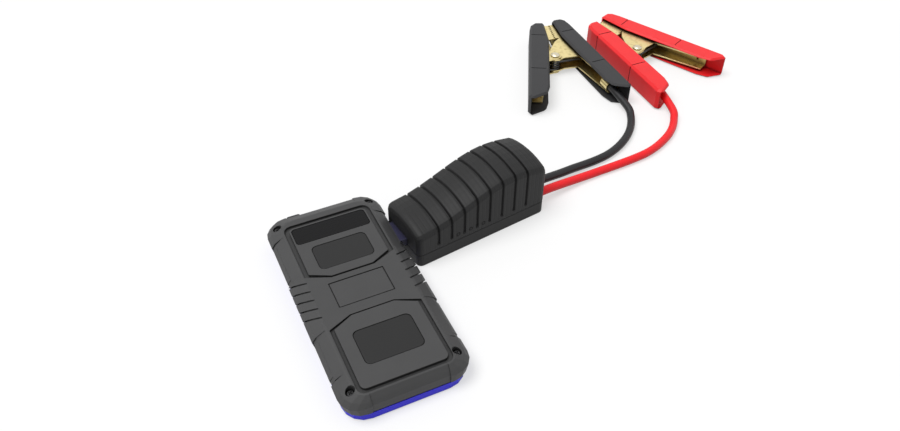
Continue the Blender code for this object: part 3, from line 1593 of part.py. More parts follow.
def battery_clamp(colour, module, pivot, bisector, cable_side, finishes):
    """One clamp. The half that the cable enters is the fixed one, and the other turns on the pin."""
    clamp = empty(f"{colour}_clamp", (*pivot, 0), bisector, module)
    for side in (-1, 1):
        kind = "fixed" if side == cable_side else "moving"
        half = empty(f"{colour}_{kind}_half", (0, 0, 0), side * HALF_SPREAD, clamp)
        clamp_cover(f"{colour}_{kind}_cover", half, side, finishes[colour])
        jaw(f"{colour}_{kind}_jaw", half, side, finishes["brass"], kind == "fixed")
    pivot_pin(f"{colour}_pivot_pin", clamp, finishes["steel"])
    spring(f"{colour}_spring", clamp, finishes["dark_steel"])
    strap(f"{colour}_strap", clamp, finishes["copper"])


def main():
    clear_scene()
    finishes = {
        "case": material("case_plastic", (0.07, 0.07, 0.072), 0.55),
        "base": material("base_plastic", (0.03, 0.02, 0.62), 0.4),
        "display": material("display_glass", (0.015, 0.015, 0.017), 0.12),
        "inlay": material("inlay_plastic", (0.026, 0.026, 0.027), 0.5),
        "module": material("module_plastic", (0.022, 0.022, 0.023), 0.5),
        "black": material("black_cover", (0.05, 0.05, 0.052), 0.55),
        "red": material("red_cover", (0.83, 0.03, 0.03), 0.4),
        "black_cable": material("black_cable", (0.035, 0.035, 0.038), 0.5),
        "red_cable": material("red_cable", (0.78, 0.02, 0.025), 0.4),
        "brass": material("brass", (0.78, 0.65, 0.3), 0.3, 1.0),
        "copper": material("copper", (0.55, 0.33, 0.12), 0.35, 1.0),
        "steel": material("steel", (0.62, 0.6, 0.56), 0.35, 1.0),
        "dark_steel": material("dark_steel", (0.08, 0.08, 0.08), 0.45, 1.0),
        "board": material("circuit_board", (0.02, 0.12, 0.05), 0.5),
        "cell": material("cell_wrap", (0.42, 0.43, 0.45), 0.35, 0.6),
        "plug": material("plug_plastic", (0.02, 0.018, 0.06), 0.4),
        "socket": material("socket_plastic", (0.03, 0.03, 0.03), 0.5),
        "lens": material("clear_lens", (0.85, 0.87, 0.9), 0.1),
        "pipe": material("light_pipe", (0.03, 0.03, 0.032), 0.25),
        "led": material("led_body", (0.85, 0.8, 0.5), 0.4),
    }
    pack = empty("pack")
    bottom_cover(pack, finishes["base"])
    top_cover(pack, finishes["case"])
    inlay_pieces(
        pack,
        {
            "display_window": finishes["display"],
            "upper_pad": finishes["inlay"],
            "lower_pad": finishes["inlay"],
            "badge_plate": finishes["case"],
        },
    )
    display_panel(pack, finishes["board"])
    for i, (x, y) in enumerate(screw_places()):
        length = SCREW_SEAT - FLOOR - 1.5
        case_screw(f"case_screw_{i + 1}", finishes["dark_steel"], pack, (x, y, SCREW_SEAT + GAP), length)
    battery_cells(pack, finishes["cell"])
    main_board(pack, finishes["board"])
    jump_socket(pack, finishes["socket"])
    socket_pins(pack, finishes["brass"])
    busbars(pack, finishes["copper"])
    steel = finishes["steel"]
    port("usb_port", pack, steel, USB_X, USB_WIDTH, USB_HEIGHT, USB_LENGTH, (0.3, 1.9))
    port("charge_port", pack, steel, CHARGE_X, CHARGE_WIDTH, CHARGE_HEIGHT, CHARGE_LENGTH, (-0.35, 0.35))
    torch(pack, finishes["lens"], finishes["led"])
    power_button(pack, finishes["inlay"], finishes["socket"])

    jump_module = empty("jump_module", (PACK_WIDTH / 2, PLUG_Y, 0))
    plug_frame = empty("plug_frame", (MODULE_STAND, 0, 0), parent=jump_module)
    module = empty("module_frame", (MODULE_STAND, MODULE_SIDE, 0), MODULE_YAW, jump_module)
    module_covers(module, plug_frame, finishes["module"])
    module_contents(module, finishes["board"], finishes["socket"])
    plug(plug_frame, finishes["plug"], finishes["brass"])
    led_lenses(module, finishes["pipe"])
    grommet("black_grommet", module, finishes["inlay"], BLACK_EXIT)
    grommet("red_grommet", module, finishes["inlay"], RED_EXIT)
    for i, x in enumerate(MODULE_SCREWS):
        screw = case_screw(f"module_screw_{i + 1}", finishes["steel"], module, (x, 0, SCREW_HEAD + GAP), 12.0)
        screw.rotation_euler = (pi, 0, 0)
    for colour, route, exit_y, pivot, bisector, side in (
        ("black", BLACK_ROUTE, BLACK_EXIT, BLACK_PIVOT, BLACK_BISECTOR, 1),
        ("red", RED_ROUTE, RED_EXIT, RED_PIVOT, RED_BISECTOR, -1),
    ):
        name = f"{colour}_cable"
        points = cable_route(route, exit_y, pivot, bisector, side)
        tube(name, points, CABLE_RADIUS, finishes[name], parent=jump_module)
        battery_clamp(colour, jump_module, pivot, bisector, side, finishes)


main()
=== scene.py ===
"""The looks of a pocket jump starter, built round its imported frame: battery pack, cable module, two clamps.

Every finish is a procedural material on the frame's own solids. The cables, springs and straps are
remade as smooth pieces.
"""

from math import cos, radians, sin

import bmesh
import bpy
from bpy.props import FloatProperty, FloatVectorProperty, PointerProperty
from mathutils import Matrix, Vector


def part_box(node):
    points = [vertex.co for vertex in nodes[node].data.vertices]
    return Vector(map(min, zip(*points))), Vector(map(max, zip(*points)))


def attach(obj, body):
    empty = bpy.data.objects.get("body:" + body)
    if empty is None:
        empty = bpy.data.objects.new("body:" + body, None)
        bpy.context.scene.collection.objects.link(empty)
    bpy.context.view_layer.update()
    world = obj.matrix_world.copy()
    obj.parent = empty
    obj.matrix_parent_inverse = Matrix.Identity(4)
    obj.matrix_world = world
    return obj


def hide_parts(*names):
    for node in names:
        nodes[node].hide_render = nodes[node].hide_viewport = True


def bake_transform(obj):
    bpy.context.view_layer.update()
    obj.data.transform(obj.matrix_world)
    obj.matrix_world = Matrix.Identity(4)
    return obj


bl_info = {
    "name": "Jump starter pack",
    "version": (1, 0, 0),
    "blender": (4, 5, 0),
    "location": "3D View > Sidebar > Jump starter",
    "description": "Dresses the frame of a pocket jump starter with its finishes and small pieces",
    "category": "Object",
}

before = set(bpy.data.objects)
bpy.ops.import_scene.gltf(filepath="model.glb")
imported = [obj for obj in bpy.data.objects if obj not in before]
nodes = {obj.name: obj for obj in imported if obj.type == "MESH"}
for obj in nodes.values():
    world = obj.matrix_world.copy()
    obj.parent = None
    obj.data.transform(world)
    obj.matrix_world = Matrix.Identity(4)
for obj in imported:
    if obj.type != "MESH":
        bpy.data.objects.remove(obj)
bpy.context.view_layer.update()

MM = 0.001

# Camera, round a point on the floor between the pack and the clamps
CAMERA_TARGET = Vector((79.3, 48.6, 0.0)) * MM
CAMERA_DISTANCE = 534.3 * MM
CAMERA_AZIMUTH = -24.99
CAMERA_ELEVATION = 42.93
CAMERA_LENS = 32.52
SENSOR = 36.0

# The plug's axis leaves the pack here, and the cables' points are told from it
PLUG_PLACE = Vector((35.0, 36.0, 0.0)) * MM
MODULE_STAND = 4.4 * MM
MODULE_SIDE = -3.0 * MM
MODULE_YAW = radians(7.8)
MODULE_LENGTH = 96.0 * MM
CABLE_HEIGHT = 7.6 * MM
CABLE_START = 11.5 * MM
RIB_START = 14.5 * MM
RIB_PITCH = 9.4 * MM
LINES_PER_RIB = 3

# Clamps: the pivots and the lines that halve them, as the cables' ends need them
CLAMP_MIDDLE = 8.75 * MM
HALF_SPREAD = radians(13.4)
LEFT_OFFSET = 4.6 * MM
RIGHT_OFFSET = 17.8 * MM
SLEEVE_END = 46.8 * MM
SLEEVE_LENGTH = 9.0 * MM
SLEEVE_DEPTH = 6.2 * MM
BEND_REACH = 6.0 * MM
BEND_DEPTH = 8.0 * MM

# Free parts of the cables, in millimetres
CABLES = {
    "black": {
        "exit_y": -0.1,
        "pivot": (192.5, 131.8),
        "bisector": radians(-105.9),
        "side": 1,
        "length": 0.180,
        "route": (
            (111.0, 11.4, 7.3),
            (120.0, 12.7, 6.4),
            (129.4, 14.3, 5.1),
            (139.8, 16.1, 4.0),
            (149.9, 17.3, 3.1),
            (160.3, 18.2, 2.9),
            (170.8, 20.0, 2.9),
            (181.6, 23.9, 2.9),
            (192.0, 29.7, 2.9),
            (200.2, 36.2, 2.9),
            (206.7, 43.3, 2.9),
            (211.6, 51.0, 3.7),
            (214.0, 58.8, 5.8),
        ),
    },
    "red": {
        "exit_y": -9.9,
        "pivot": (258.3, 113.5),
        "bisector": radians(-78.5),
        "side": -1,
        "length": 0.200,
        "route": (
            (112.0, 1.7, 7.1),
            (123.4, 3.5, 5.7),
            (133.4, 5.0, 4.3),
            (143.6, 6.2, 3.3),
            (154.0, 6.9, 2.9),
            (165.0, 7.3, 2.9),
            (176.0, 7.8, 2.9),
            (187.0, 8.6, 2.9),
            (197.5, 10.0, 2.9),
            (207.0, 12.7, 2.9),
            (216.2, 16.6, 2.9),
            (225.0, 21.5, 2.9),
            (232.6, 27.5, 2.9),
            (238.6, 34.2, 3.6),
            (242.7, 41.7, 5.8),
        ),
    },
}


# ---- Shader maths -------------------------------------------------------------------------------

BEVEL_SAMPLES = 4
EDGE_GAIN = 6.0  # how fast an edge counts as scuffed, and takes its painted highlight, when its normal turns away
SHADE_SAMPLES = 8
PAINTED_SHADE_RANGE = (0.35, 0.95)  # share of open air at which the painted shade is full, and at which a colour is all its own
PAINTED_CHANNEL_SHADE = 0.3  # painted shade: a plastic's colour deep in a channel, as a share of its own


class Value:
    """A shader socket that can stand in a Python expression."""

    def __init__(self, finish, socket):
        self.finish = finish
        self.socket = socket

    def math(self, operation, *operands):
        return self.finish.node("ShaderNodeMath", {"operation": operation}, dict(enumerate(operands)))

    def __add__(self, other):
        return self.math("ADD", self, other)

    def __radd__(self, other):
        return self.math("ADD", other, self)

    def __sub__(self, other):
        return self.math("SUBTRACT", self, other)

    def __rsub__(self, other):
        return self.math("SUBTRACT", other, self)

    def __mul__(self, other):
        return self.math("MULTIPLY", self, other)

    def __truediv__(self, other):
        return self.math("DIVIDE", self, other)

    def __pow__(self, other):
        return self.math("POWER", self, other)

    def __abs__(self):
        return self.math("ABSOLUTE", self)

    def wave(self, period):
        """A triangle wave from 0 to 1 and back over each period."""
        return self.math("PINGPONG", self / (period / 2), 1.0)

    def clip(self):
        return self.finish.node("ShaderNodeClamp", {}, {"Value": self})

    def between(self, low, high):
        """Rises smoothly from 0 at low to 1 at high."""
        values = {"Value": self, "From Min": low, "From Max": high}
        return self.finish.node("ShaderNodeMapRange", {"interpolation_type": "SMOOTHSTEP"}, values)


class Finish:
    """A material on one Principled shader, with the nodes that the finishes below share."""

    def __init__(self, name, colour, roughness, metallic=0.0, specular=0.5):
        self.material = bpy.data.materials.new(name)
        self.material.use_nodes = True
        self.material.diffuse_color = (*colour, 1.0)
        self.tree = self.material.node_tree
        self.shader = self.tree.nodes["Principled BSDF"]
        self.set(
            {
                "Base Color": (*colour, 1.0),
                "Roughness": roughness,
                "Metallic": metallic,
                "Specular IOR Level": specular,
            }
        )

    def node(self, kind, settings, values, output=0):
        """Adds a node: its settings first, then the values or links of its sockets."""
        made = self.tree.nodes.new(kind)
        for name, value in settings.items():
            setattr(made, name, value)
        self.fill(made, values)
        return Value(self, made.outputs[output])

    def fill(self, node, values):
        for key, value in values.items():
            if isinstance(value, Value):
                self.tree.links.new(value.socket, node.inputs[key])
            else:
                node.inputs[key].default_value = value

    def set(self, values):
        self.fill(self.shader, values)

    def place(self):
        return self.node("ShaderNodeTexCoord", {}, {}, "Object")

    def axis(self, place, index):
        return self.node("ShaderNodeSeparateXYZ", {}, {0: place}, index)

    def noise(self, place, size, detail=2.0, stretch=(1.0, 1.0, 1.0)):
        """Noise whose grains are about size metres across, times stretch along each axis."""
        scale = Vector([1 / part for part in stretch])
        stretched = self.node("ShaderNodeVectorMath", {"operation": "MULTIPLY"}, {0: place, 1: scale})
        return self.node("ShaderNodeTexNoise", {}, {"Vector": stretched, "Scale": 1 / size, "Detail": detail})

    def mix(self, factor, first, second, blend="MIX"):
        settings = {"data_type": "RGBA", "blend_type": blend}
        return self.node("ShaderNodeMix", settings, {0: factor, 6: first, 7: second}, 2)

    def soft_edges(self, radius):
        return self.node("ShaderNodeBevel", {"samples": BEVEL_SAMPLES}, {"Radius": radius})

    def edge_mask(self, rounded):
        """0 on flat faces, and up to 1 where the rounded normal leaves the true one."""
        flat = self.node("ShaderNodeNewGeometry", {}, {}, "True Normal")
        normals = {0: rounded, 1: flat}
        along = self.node("ShaderNodeVectorMath", {"operation": "DOT_PRODUCT"}, normals, "Value")
        return ((1 - along) * EDGE_GAIN).clip()

    def with_painted_shade(self, colour, distance, dark):
        """The colour with painted shade: darker down in channels and corners narrower than the distance."""
        settings = {"samples": SHADE_SAMPLES}
        open_air = self.node("ShaderNodeAmbientOcclusion", settings, {"Distance": distance}, "AO")
        return self.mix(open_air.between(*PAINTED_SHADE_RANGE), dark, colour)

    def bump(self, height, depth, normal=None):
        values = {"Height": height, "Distance": depth, "Strength": 1.0}
        if normal:
            values["Normal"] = normal
        return self.node("ShaderNodeBump", {}, values)


def opaque(colour):
    """A colour as a shader's four numbers."""
    return (*colour, 1.0)


def tint(colour, factor):
    """A colour times a factor, as a shader's four numbers."""
    return (*[min(1.0, part * factor) for part in colour], 1.0)


# ---- Finishes -----------------------------------------------------------------------------------


def moulded(name, colour, roughness, depth=0.02 * MM, edge_wear_and_highlight_tint=1.35, specular=0.5):
    """Moulded plastic: a fine eroded grain, edges lightened partly by scuffing and partly as a painted
    highlight, a faint cloud in the colour, and painted shade in channels.
    """
    finish = Finish(name, colour, roughness, specular=specular)
    place = finish.place()
    texture = finish.noise(place, 0.45 * MM, 3.0)
    cloud = finish.noise(place, 14 * MM)
    rounded = finish.soft_edges(0.5 * MM)
    edge_wear_and_highlight_mask = finish.edge_mask(rounded) * cloud.between(0.3, 0.7)
    body = finish.mix(cloud, tint(colour, 0.92), tint(colour, 1.08))
    # Edges lightened: partly scuffing, partly a painted highlight.
    colour_with_wear_and_highlight = finish.mix(edge_wear_and_highlight_mask * 0.6, body, tint(colour, edge_wear_and_highlight_tint))
    finish.set(
        {
            # Painted shade: the colour darkens down in channels and corners.
            "Base Color": finish.with_painted_shade(colour_with_wear_and_highlight, 3.5 * MM, tint(colour, PAINTED_CHANNEL_SHADE)),
            "Roughness": roughness + (texture - 0.5) * 0.16 - edge_wear_and_highlight_mask * 0.08,
            "Normal": finish.bump(texture, depth, rounded),
        }
    )
    return finish.material


def ribbed(name, colour, roughness, specular):
    """The module's plastic: fine moulded lines along each rib, over the eroded grain; edges lightened by
    scuffing and a painted highlight; painted shade in channels.
    """
    finish = Finish(name, colour, roughness, specular=specular)
    place = finish.place()
    start = PLUG_PLACE + Vector((MODULE_STAND, MODULE_SIDE, 0))
    across = (finish.axis(place, 0) - start.x) * cos(MODULE_YAW)
    across = across + (finish.axis(place, 1) - start.y) * sin(MODULE_YAW)
    texture = finish.noise(place, 0.4 * MM, 3.0)
    cloud = finish.noise(place, 12 * MM)
    line = (across - RIB_START).wave(RIB_PITCH / LINES_PER_RIB).between(0.0, 0.35)
    rounded = finish.soft_edges(0.5 * MM)
    edge_wear_and_highlight_mask = finish.edge_mask(rounded)
    grained = finish.bump(texture, 0.015 * MM, rounded)
    body = finish.mix(cloud, tint(colour, 0.9), tint(colour, 1.1))
    lined = finish.mix(line, tint(colour, 0.85), body)
    # Edges lightened: partly scuffing, partly a painted highlight.
    colour_with_wear_and_highlight = finish.mix(edge_wear_and_highlight_mask * 0.5, lined, tint(colour, 1.5))
    finish.set(
        {
            # Painted shade: the colour darkens down in channels and corners.
            "Base Color": finish.with_painted_shade(colour_with_wear_and_highlight, 3.0 * MM, tint(colour, PAINTED_CHANNEL_SHADE)),
            "Roughness": roughness + (texture - 0.5) * 0.14,
            "Normal": finish.bump(line, 0.06 * MM, grained),
        }
    )
    return finish.material


def glossy_window(name, colour):
    """The display's dark window: smooth, with faint wiping marks."""
    finish = Finish(name, colour, 0.25, specular=0.15)
    place = finish.place()
    marks = finish.noise(place, 1.6 * MM, 4.0, (6.0, 1.0, 1.0))
    finish.set(
        {
            "Roughness": 0.22 + marks * 0.12,
            "Normal": finish.bump(marks, 0.004 * MM, finish.soft_edges(0.3 * MM)),
        }
    )
    return finish.material


def stamped_brass(name, colour, tarnish, hollow_shade):
    """Plated sheet: long rolling marks, tarnish in clouds, bright edges that are partly polish and partly a
    painted highlight, and painted shade in the recesses.
    """
    finish = Finish(name, colour, 0.3, metallic=1.0)
    place = finish.place()
    rolled = finish.noise(place, 0.35 * MM, 3.0, (1.0, 14.0, 1.0))
    cloud = finish.noise(place, 2.5 * MM, 4.0)
    rounded = finish.soft_edges(0.25 * MM)
    bright = finish.edge_mask(rounded)
    tarnished = finish.mix(cloud.between(0.45, 0.8) * 0.6, opaque(colour), opaque(tarnish))
    # Bright edges: partly polish, partly a painted highlight.
    colour_with_wear_and_highlight = finish.mix(bright * 0.6, tarnished, tint(colour, 1.15))
    finish.set(
        {
            # Painted shade: the brass turns to the shade colour down in recesses up to 9 mm across.
            "Base Color": finish.with_painted_shade(colour_with_wear_and_highlight, 9 * MM, opaque(hollow_shade)),
            "Roughness": 0.24 + rolled * 0.16 + cloud * 0.08,
            "Normal": finish.bump(rolled, 0.012 * MM, rounded),
        }
    )
    return finish.material


def turned_steel(name, colour, roughness):
    """Turned or pressed metal: fine marks, and a cloud in the colour."""
    finish = Finish(name, colour, roughness, metallic=1.0)
    place = finish.place()
    marks = finish.noise(place, 0.25 * MM, 3.0)
    cloud = finish.noise(place, 4 * MM, 3.0)
    finish.set(
        {
            "Base Color": finish.mix(cloud, tint(colour, 0.8), tint(colour, 1.1)),
            "Roughness": roughness + (marks - 0.5) * 0.2,
            "Normal": finish.bump(marks, 0.008 * MM, finish.soft_edges(0.15 * MM)),
        }
    )
    return finish.material


def braided_copper(name, colour):
    """A flat braid: two sets of strands that cross, with painted shade in the gaps between them."""
    finish = Finish(name, colour, 0.35, metallic=1.0)
    place = finish.place()
    run = finish.axis(place, 0) + finish.axis(place, 1) * 0.6
    up = finish.axis(place, 2)
    strands = (run + up).wave(1.0 * MM) * (run - up).wave(1.0 * MM)
    finish.set(
        {
            # Painted shade: between the strands the colour falls to about a third of its own.
            "Base Color": finish.mix(strands.between(0.1, 0.6), tint(colour, 0.35), tint(colour, 1.1)),
            "Roughness": 0.5 - strands * 0.2,
            "Normal": finish.bump(strands, 0.2 * MM),
        }
    )
    return finish.material


def sheathed(name, colour, roughness, specular):
    """A cable's sheath: drawn lines so fine that they only break up the shine, and a dusty cloud."""
    finish = Finish(name, colour, roughness, specular=specular)
    place = finish.place()
    fine = finish.noise(place, 0.3 * MM, 3.0)
    cloud = finish.noise(place, 9 * MM, 3.0)
    finish.set(
        {
            "Base Color": finish.mix(cloud, tint(colour, 0.88), tint(colour, 1.1)),
            "Roughness": roughness + (fine - 0.5) * 0.15 + (cloud - 0.5) * 0.1,
            "Normal": finish.bump(fine, 0.008 * MM),
        }
    )
    return finish.material


def circuit_board(name, colour):
    """Solder mask over copper tracks."""
    finish = Finish(name, colour, 0.35)
    place = finish.place()
    across = finish.axis(place, 0).wave(2.6 * MM)
    along = finish.axis(place, 1).wave(3.4 * MM)
    tracks = (across.between(0.8, 0.86) + along.between(0.86, 0.9)).clip()
    finish.set(
        {
            "Base Color": finish.mix(tracks, tint(colour, 0.8), tint(colour, 1.9)),
            "Normal": finish.bump(tracks, 0.035 * MM),
        }
    )
    return finish.material


def foil(name, colour):
    """A pouch cell's foil: satin, with soft creases."""
    finish = Finish(name, colour, 0.35, metallic=0.6)
    place = finish.place()
    creases = finish.noise(place, 6 * MM, 5.0)
    finish.set(
        {
            "Roughness": 0.28 + creases * 0.2,
            "Normal": finish.bump(creases, 0.3 * MM, finish.soft_edges(0.4 * MM)),
        }
    )
    return finish.material


def clear_lens(name, colour, rings):
    """A moulded lens with fine rings about its own axis, which runs along Y."""
    finish = Finish(name, colour, 0.08)
    finish.set({"Transmission Weight": 0.9, "IOR": 1.49})
    place = finish.place()
    low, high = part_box("torch_lens")
    centre = (low + high) / 2
    across = finish.axis(place, 0) - centre.x
    up = finish.axis(place, 2) - centre.z
    radius = (across * across + up * up) ** 0.5
    finish.set({"Normal": finish.bump(radius.wave(rings), 0.08 * MM)})
    return finish.material


def power_mark(name, colour, mark_colour):
    """The button's plastic, with the usual ring and stroke printed in the middle of its face."""
    finish = Finish(name, colour, 0.5)
    place = finish.place()
    low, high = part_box("power_button")
    centre = (low + high) / 2
    across = finish.axis(place, 0) - centre.x
    up = finish.axis(place, 2) - centre.z
    radius = (across * across + up * up) ** 0.5
    ring = 1 - abs(radius - 1.35 * MM).between(0.12 * MM, 0.2 * MM)
    gap = 1 - abs(across).between(0.4 * MM, 0.5 * MM)
    upper = up.between(0.2 * MM, 0.3 * MM)
    narrow = 1 - abs(across).between(0.12 * MM, 0.2 * MM)
    short = 1 - abs(up - 1.1 * MM).between(0.75 * MM, 0.85 * MM)
    mark = (ring * (1 - gap * upper) + narrow * short).clip()
    outer = finish.axis(place, 1).between(high.y - 0.25 * MM, high.y - 0.2 * MM)
    grain = finish.noise(place, 0.4 * MM, 3.0)
    finish.set(
        {
            "Base Color": finish.mix(mark * outer, opaque(colour), opaque(mark_colour)),
            "Normal": finish.bump(grain, 0.015 * MM, finish.soft_edges(0.4 * MM)),
        }
    )
    return finish.material


# ---- Settings that a user would change ----------------------------------------------------------


def colour_setting(name, description, default):
    return FloatVectorProperty(
        name=name, description=description, subtype="COLOR", size=3, min=0.0, max=1.0, default=default
    )


def share_setting(name, description, default):
    return FloatProperty(
        name=name, description=description, subtype="FACTOR", min=0.0, max=1.0, default=default
    )


def strength_setting(name, description, high, default):
    return FloatProperty(name=name, description=description, min=0.0, max=high, default=default)


class PackSettings(bpy.types.PropertyGroup):
    case: colour_setting("Case", "Colour of the pack's upper cover", (0.056, 0.056, 0.057))
    base: colour_setting("Base", "Colour of the pack's lower cover", (0.018, 0.008, 0.85))
    inlay: colour_setting("Inlays", "Colour of the two inlays", (0.009, 0.009, 0.0092))
    display: colour_setting("Display", "Colour of the display's window", (0.005, 0.005, 0.0055))
    roughness: share_setting("Roughness", "Roughness of the moulded plastic", 0.55)


class ModuleSettings(bpy.types.PropertyGroup):
    body: colour_setting("Body", "Colour of the cable module", (0.012, 0.012, 0.0123))
    # The plug's colour is near-black navy: painted shade, the plug's blue darkened for the shadow it sits in
    # between pack and module.
    plug: colour_setting("Plug", "Colour of the plug", (0.012, 0.011, 0.045))
    roughness: share_setting("Roughness", "Roughness of the moulded plastic", 0.55)


class ClampSettings(bpy.types.PropertyGroup):
    black: colour_setting("Black covers", "Colour of the negative clamp's covers", (0.032, 0.032, 0.034))
    red: colour_setting("Red covers", "Colour of the positive clamp's covers", (0.9, 0.02, 0.025))
    brass: colour_setting("Jaws", "Colour of the plated jaws", (0.86, 0.72, 0.36))
    diameter: FloatProperty(
        name="Cable diameter",
        description="Outside diameter of each cable",
        subtype="DISTANCE",
        unit="LENGTH",
        min=0.002,
        max=0.012,
        default=0.0058,
    )


class StageSettings(bpy.types.PropertyGroup):
    sun: strength_setting("Sun", "Strength of the main light", 10.0, 1.9)
    sky: strength_setting("Sky", "Strength of the light from all round", 5.0, 0.5)
    shadow: share_setting("Shadow", "How much of the floor's shadow shows", 0.45)


SETTINGS = {
    "starter_pack": PackSettings,
    "starter_module": ModuleSettings,
    "starter_clamps": ClampSettings,
    "starter_stage": StageSettings,
}


# ---- Helpers ------------------------------------------------------------------------------------

WELD = 0.01 * MM  # points of one solid that are closer than this are one point


def dress(material, *names):
    """Gives the frame's own solids a material."""
    for name in names:
        nodes[name].data.materials.clear()
        nodes[name].data.materials.append(material)


def new_object(name, data, material):
    made = bpy.data.objects.new(name, data)
    bpy.context.scene.collection.objects.link(made)
    data.materials.append(material)
    return made


def smooth_copy(node, name, material):
    """A smooth piece of a solid's own shape."""
    shape = bmesh.new()
    shape.from_mesh(nodes[node].data)
    bmesh.ops.remove_doubles(shape, verts=shape.verts, dist=WELD)
    mesh = bpy.data.meshes.new(name)
    shape.to_mesh(mesh)
    shape.free()
    made = new_object(name, mesh, material)
    for face in mesh.polygons:
        face.use_smooth = True
    return made


def turned_point(x, y, turn):
    return Vector((x * cos(turn) - y * sin(turn), x * sin(turn) + y * cos(turn), 0))


def clamp_point(facts, side, x, depth):
    """A point in a clamp's bar at rest: x along it from the pivot, and depth in from its inner edge."""
    offset = LEFT_OFFSET if side < 0 else RIGHT_OFFSET
    point = turned_point(x, side * (offset + depth), side * HALF_SPREAD)
    point = turned_point(point.x, point.y, facts["bisector"])
    return PLUG_PLACE + point + Vector((*facts["pivot"], 0)) * MM + Vector((0, 0, CLAMP_MIDDLE))


def module_point(x, y):
    """A point at the cables' height in the module: x from its plug end, and y from its middle."""
    return PLUG_PLACE + turned_point(x, y, MODULE_YAW) + Vector((MODULE_STAND, MODULE_SIDE, CABLE_HEIGHT))


# ---- Cables -------------------------------------------------------------------------------------


def cable_points(facts):
    """The cable's points: out of the module, over the surface, and up into the clamp's sleeve."""
    inside = (MODULE_LENGTH - CABLE_START, MODULE_LENGTH - CABLE_START / 2, MODULE_LENGTH + 1 * MM)
    points = [module_point(x, facts["exit_y"] * MM) for x in inside]
    points += [PLUG_PLACE + Vector(point) * MM for point in facts["route"]]
    sleeve = (SLEEVE_END + 6 * MM, SLEEVE_END + 0.5 * MM, SLEEVE_END - SLEEVE_LENGTH + 1 * MM)
    points += [clamp_point(facts, facts["side"], x, SLEEVE_DEPTH) for x in sleeve]
    return points


def lifted(point, radius):
    """The point, raised where a cable of that radius would dip into the floor there."""
    return Vector((point.x, point.y, max(point.z, radius)))


def cable(colour, facts, diameter, material):
    name = f"{colour}_cable"
    curve = bpy.data.curves.new(name + "_sheath", "CURVE")
    curve.dimensions = "3D"
    curve.bevel_depth = diameter / 2
    curve.bevel_resolution = 6
    curve.resolution_u = 10
    curve.use_fill_caps = True
    spline = curve.splines.new("BEZIER")
    points = cable_points(facts)
    spline.bezier_points.add(len(points) - 1)
    ends = [points[0], *points, points[-1]]
    for knot, before, point, after in zip(spline.bezier_points, ends, points, ends[2:]):
        knot.co = point
        reach = (after - before) / 6
        knot.handle_left = lifted(point - reach, diameter / 2)
        knot.handle_right = lifted(point + reach, diameter / 2)
    sheath = new_object(name + "_sheath", curve, material)
    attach(sheath, "jump_module")
    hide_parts(name)
    tuple(module_point(MODULE_LENGTH, facts["exit_y"] * MM))
    return sheath


class STARTER_OT_cables(bpy.types.Operator):
    """Lays the black and the red cable from the module to their clamps"""

    bl_idname = "starter.cables"
    bl_label = "Cables"

    def execute(self, context):
        diameter = context.scene.starter_clamps.diameter
        black = sheathed("black_sheath", (0.009, 0.009, 0.0105), 0.42, 0.4)
        red = sheathed("red_sheath", (0.95, 0.014, 0.02), 0.4, 0.35)
        cable("black", CABLES["black"], diameter, black)
        cable("red", CABLES["red"], diameter, red)
        return {"FINISHED"}


# ---- Battery pack -------------------------------------------------------------------------------


class STARTER_OT_pack(bpy.types.Operator):
    """Finishes the pack's covers, inlays, display and screws"""

    bl_idname = "starter.pack"
    bl_label = "Battery pack"

    def execute(self, context):
        look = context.scene.starter_pack
        case = moulded("case_plastic", tuple(look.case), look.roughness, specular=0.35)
        dress(case, "top_cover", "badge_plate")
        dress(moulded("base_plastic", tuple(look.base), 0.42, depth=0.01 * MM, specular=0.4), "bottom_cover")
        dress(moulded("inlay_plastic", tuple(look.inlay), 0.5, specular=0.35), "upper_pad", "lower_pad")
        dress(glossy_window("display_glass", tuple(look.display)), "display_window")
        screws = [f"case_screw_{i}" for i in (1, 2, 3, 4)]
        dress(turned_steel("dark_steel", (0.06, 0.06, 0.062), 0.45), *screws)
        return {"FINISHED"}


class STARTER_OT_ports(bpy.types.Operator):
    """Finishes the ports, the torch and the power button"""

    bl_idname = "starter.ports"
    bl_label = "Ports, torch and button"

    def execute(self, context):
        steel = turned_steel("steel", (0.62, 0.6, 0.56), 0.32)
        dress(steel, "usb_port", "charge_port")
        dress(clear_lens("clear_lens", (0.85, 0.88, 0.92), 0.8 * MM), "torch_lens")
        led = Finish("led_body", (0.85, 0.78, 0.4), 0.4)
        led.set({"Normal": led.bump(led.noise(led.place(), 0.3 * MM), 0.02 * MM)})
        dress(led.material, "torch_led")
        inlay = tuple(context.scene.starter_pack.inlay)
        dress(power_mark("button_plastic", inlay, (0.7, 0.72, 0.75)), "power_button")
        dress(moulded("socket_plastic", (0.025, 0.025, 0.025), 0.5), "button_switch", "jump_socket")
        return {"FINISHED"}


class STARTER_OT_inside(bpy.types.Operator):
    """Finishes the cells, busbars, boards and contacts inside"""

    bl_idname = "starter.inside"
    bl_label = "Inside"

    def execute(self, context):
        cells = [f"battery_cell_{i}" for i in (1, 2, 3)]
        dress(foil("cell_wrap", (0.42, 0.43, 0.45)), *cells)
        copper = turned_steel("copper", (0.6, 0.32, 0.14), 0.35)
        dress(copper, "positive_busbar", "negative_busbar")
        board = circuit_board("circuit_board", (0.015, 0.1, 0.04))
        dress(board, "main_board", "module_board", "display_panel")
        dress(moulded("relay_plastic", (0.03, 0.03, 0.032), 0.45), "relay")
        contact = turned_steel("contact_brass", (0.82, 0.66, 0.32), 0.28)
        dress(contact, "socket_pin_1", "socket_pin_2", "plug_contact_1", "plug_contact_2")
        return {"FINISHED"}


# ---- Cable module -------------------------------------------------------------------------------


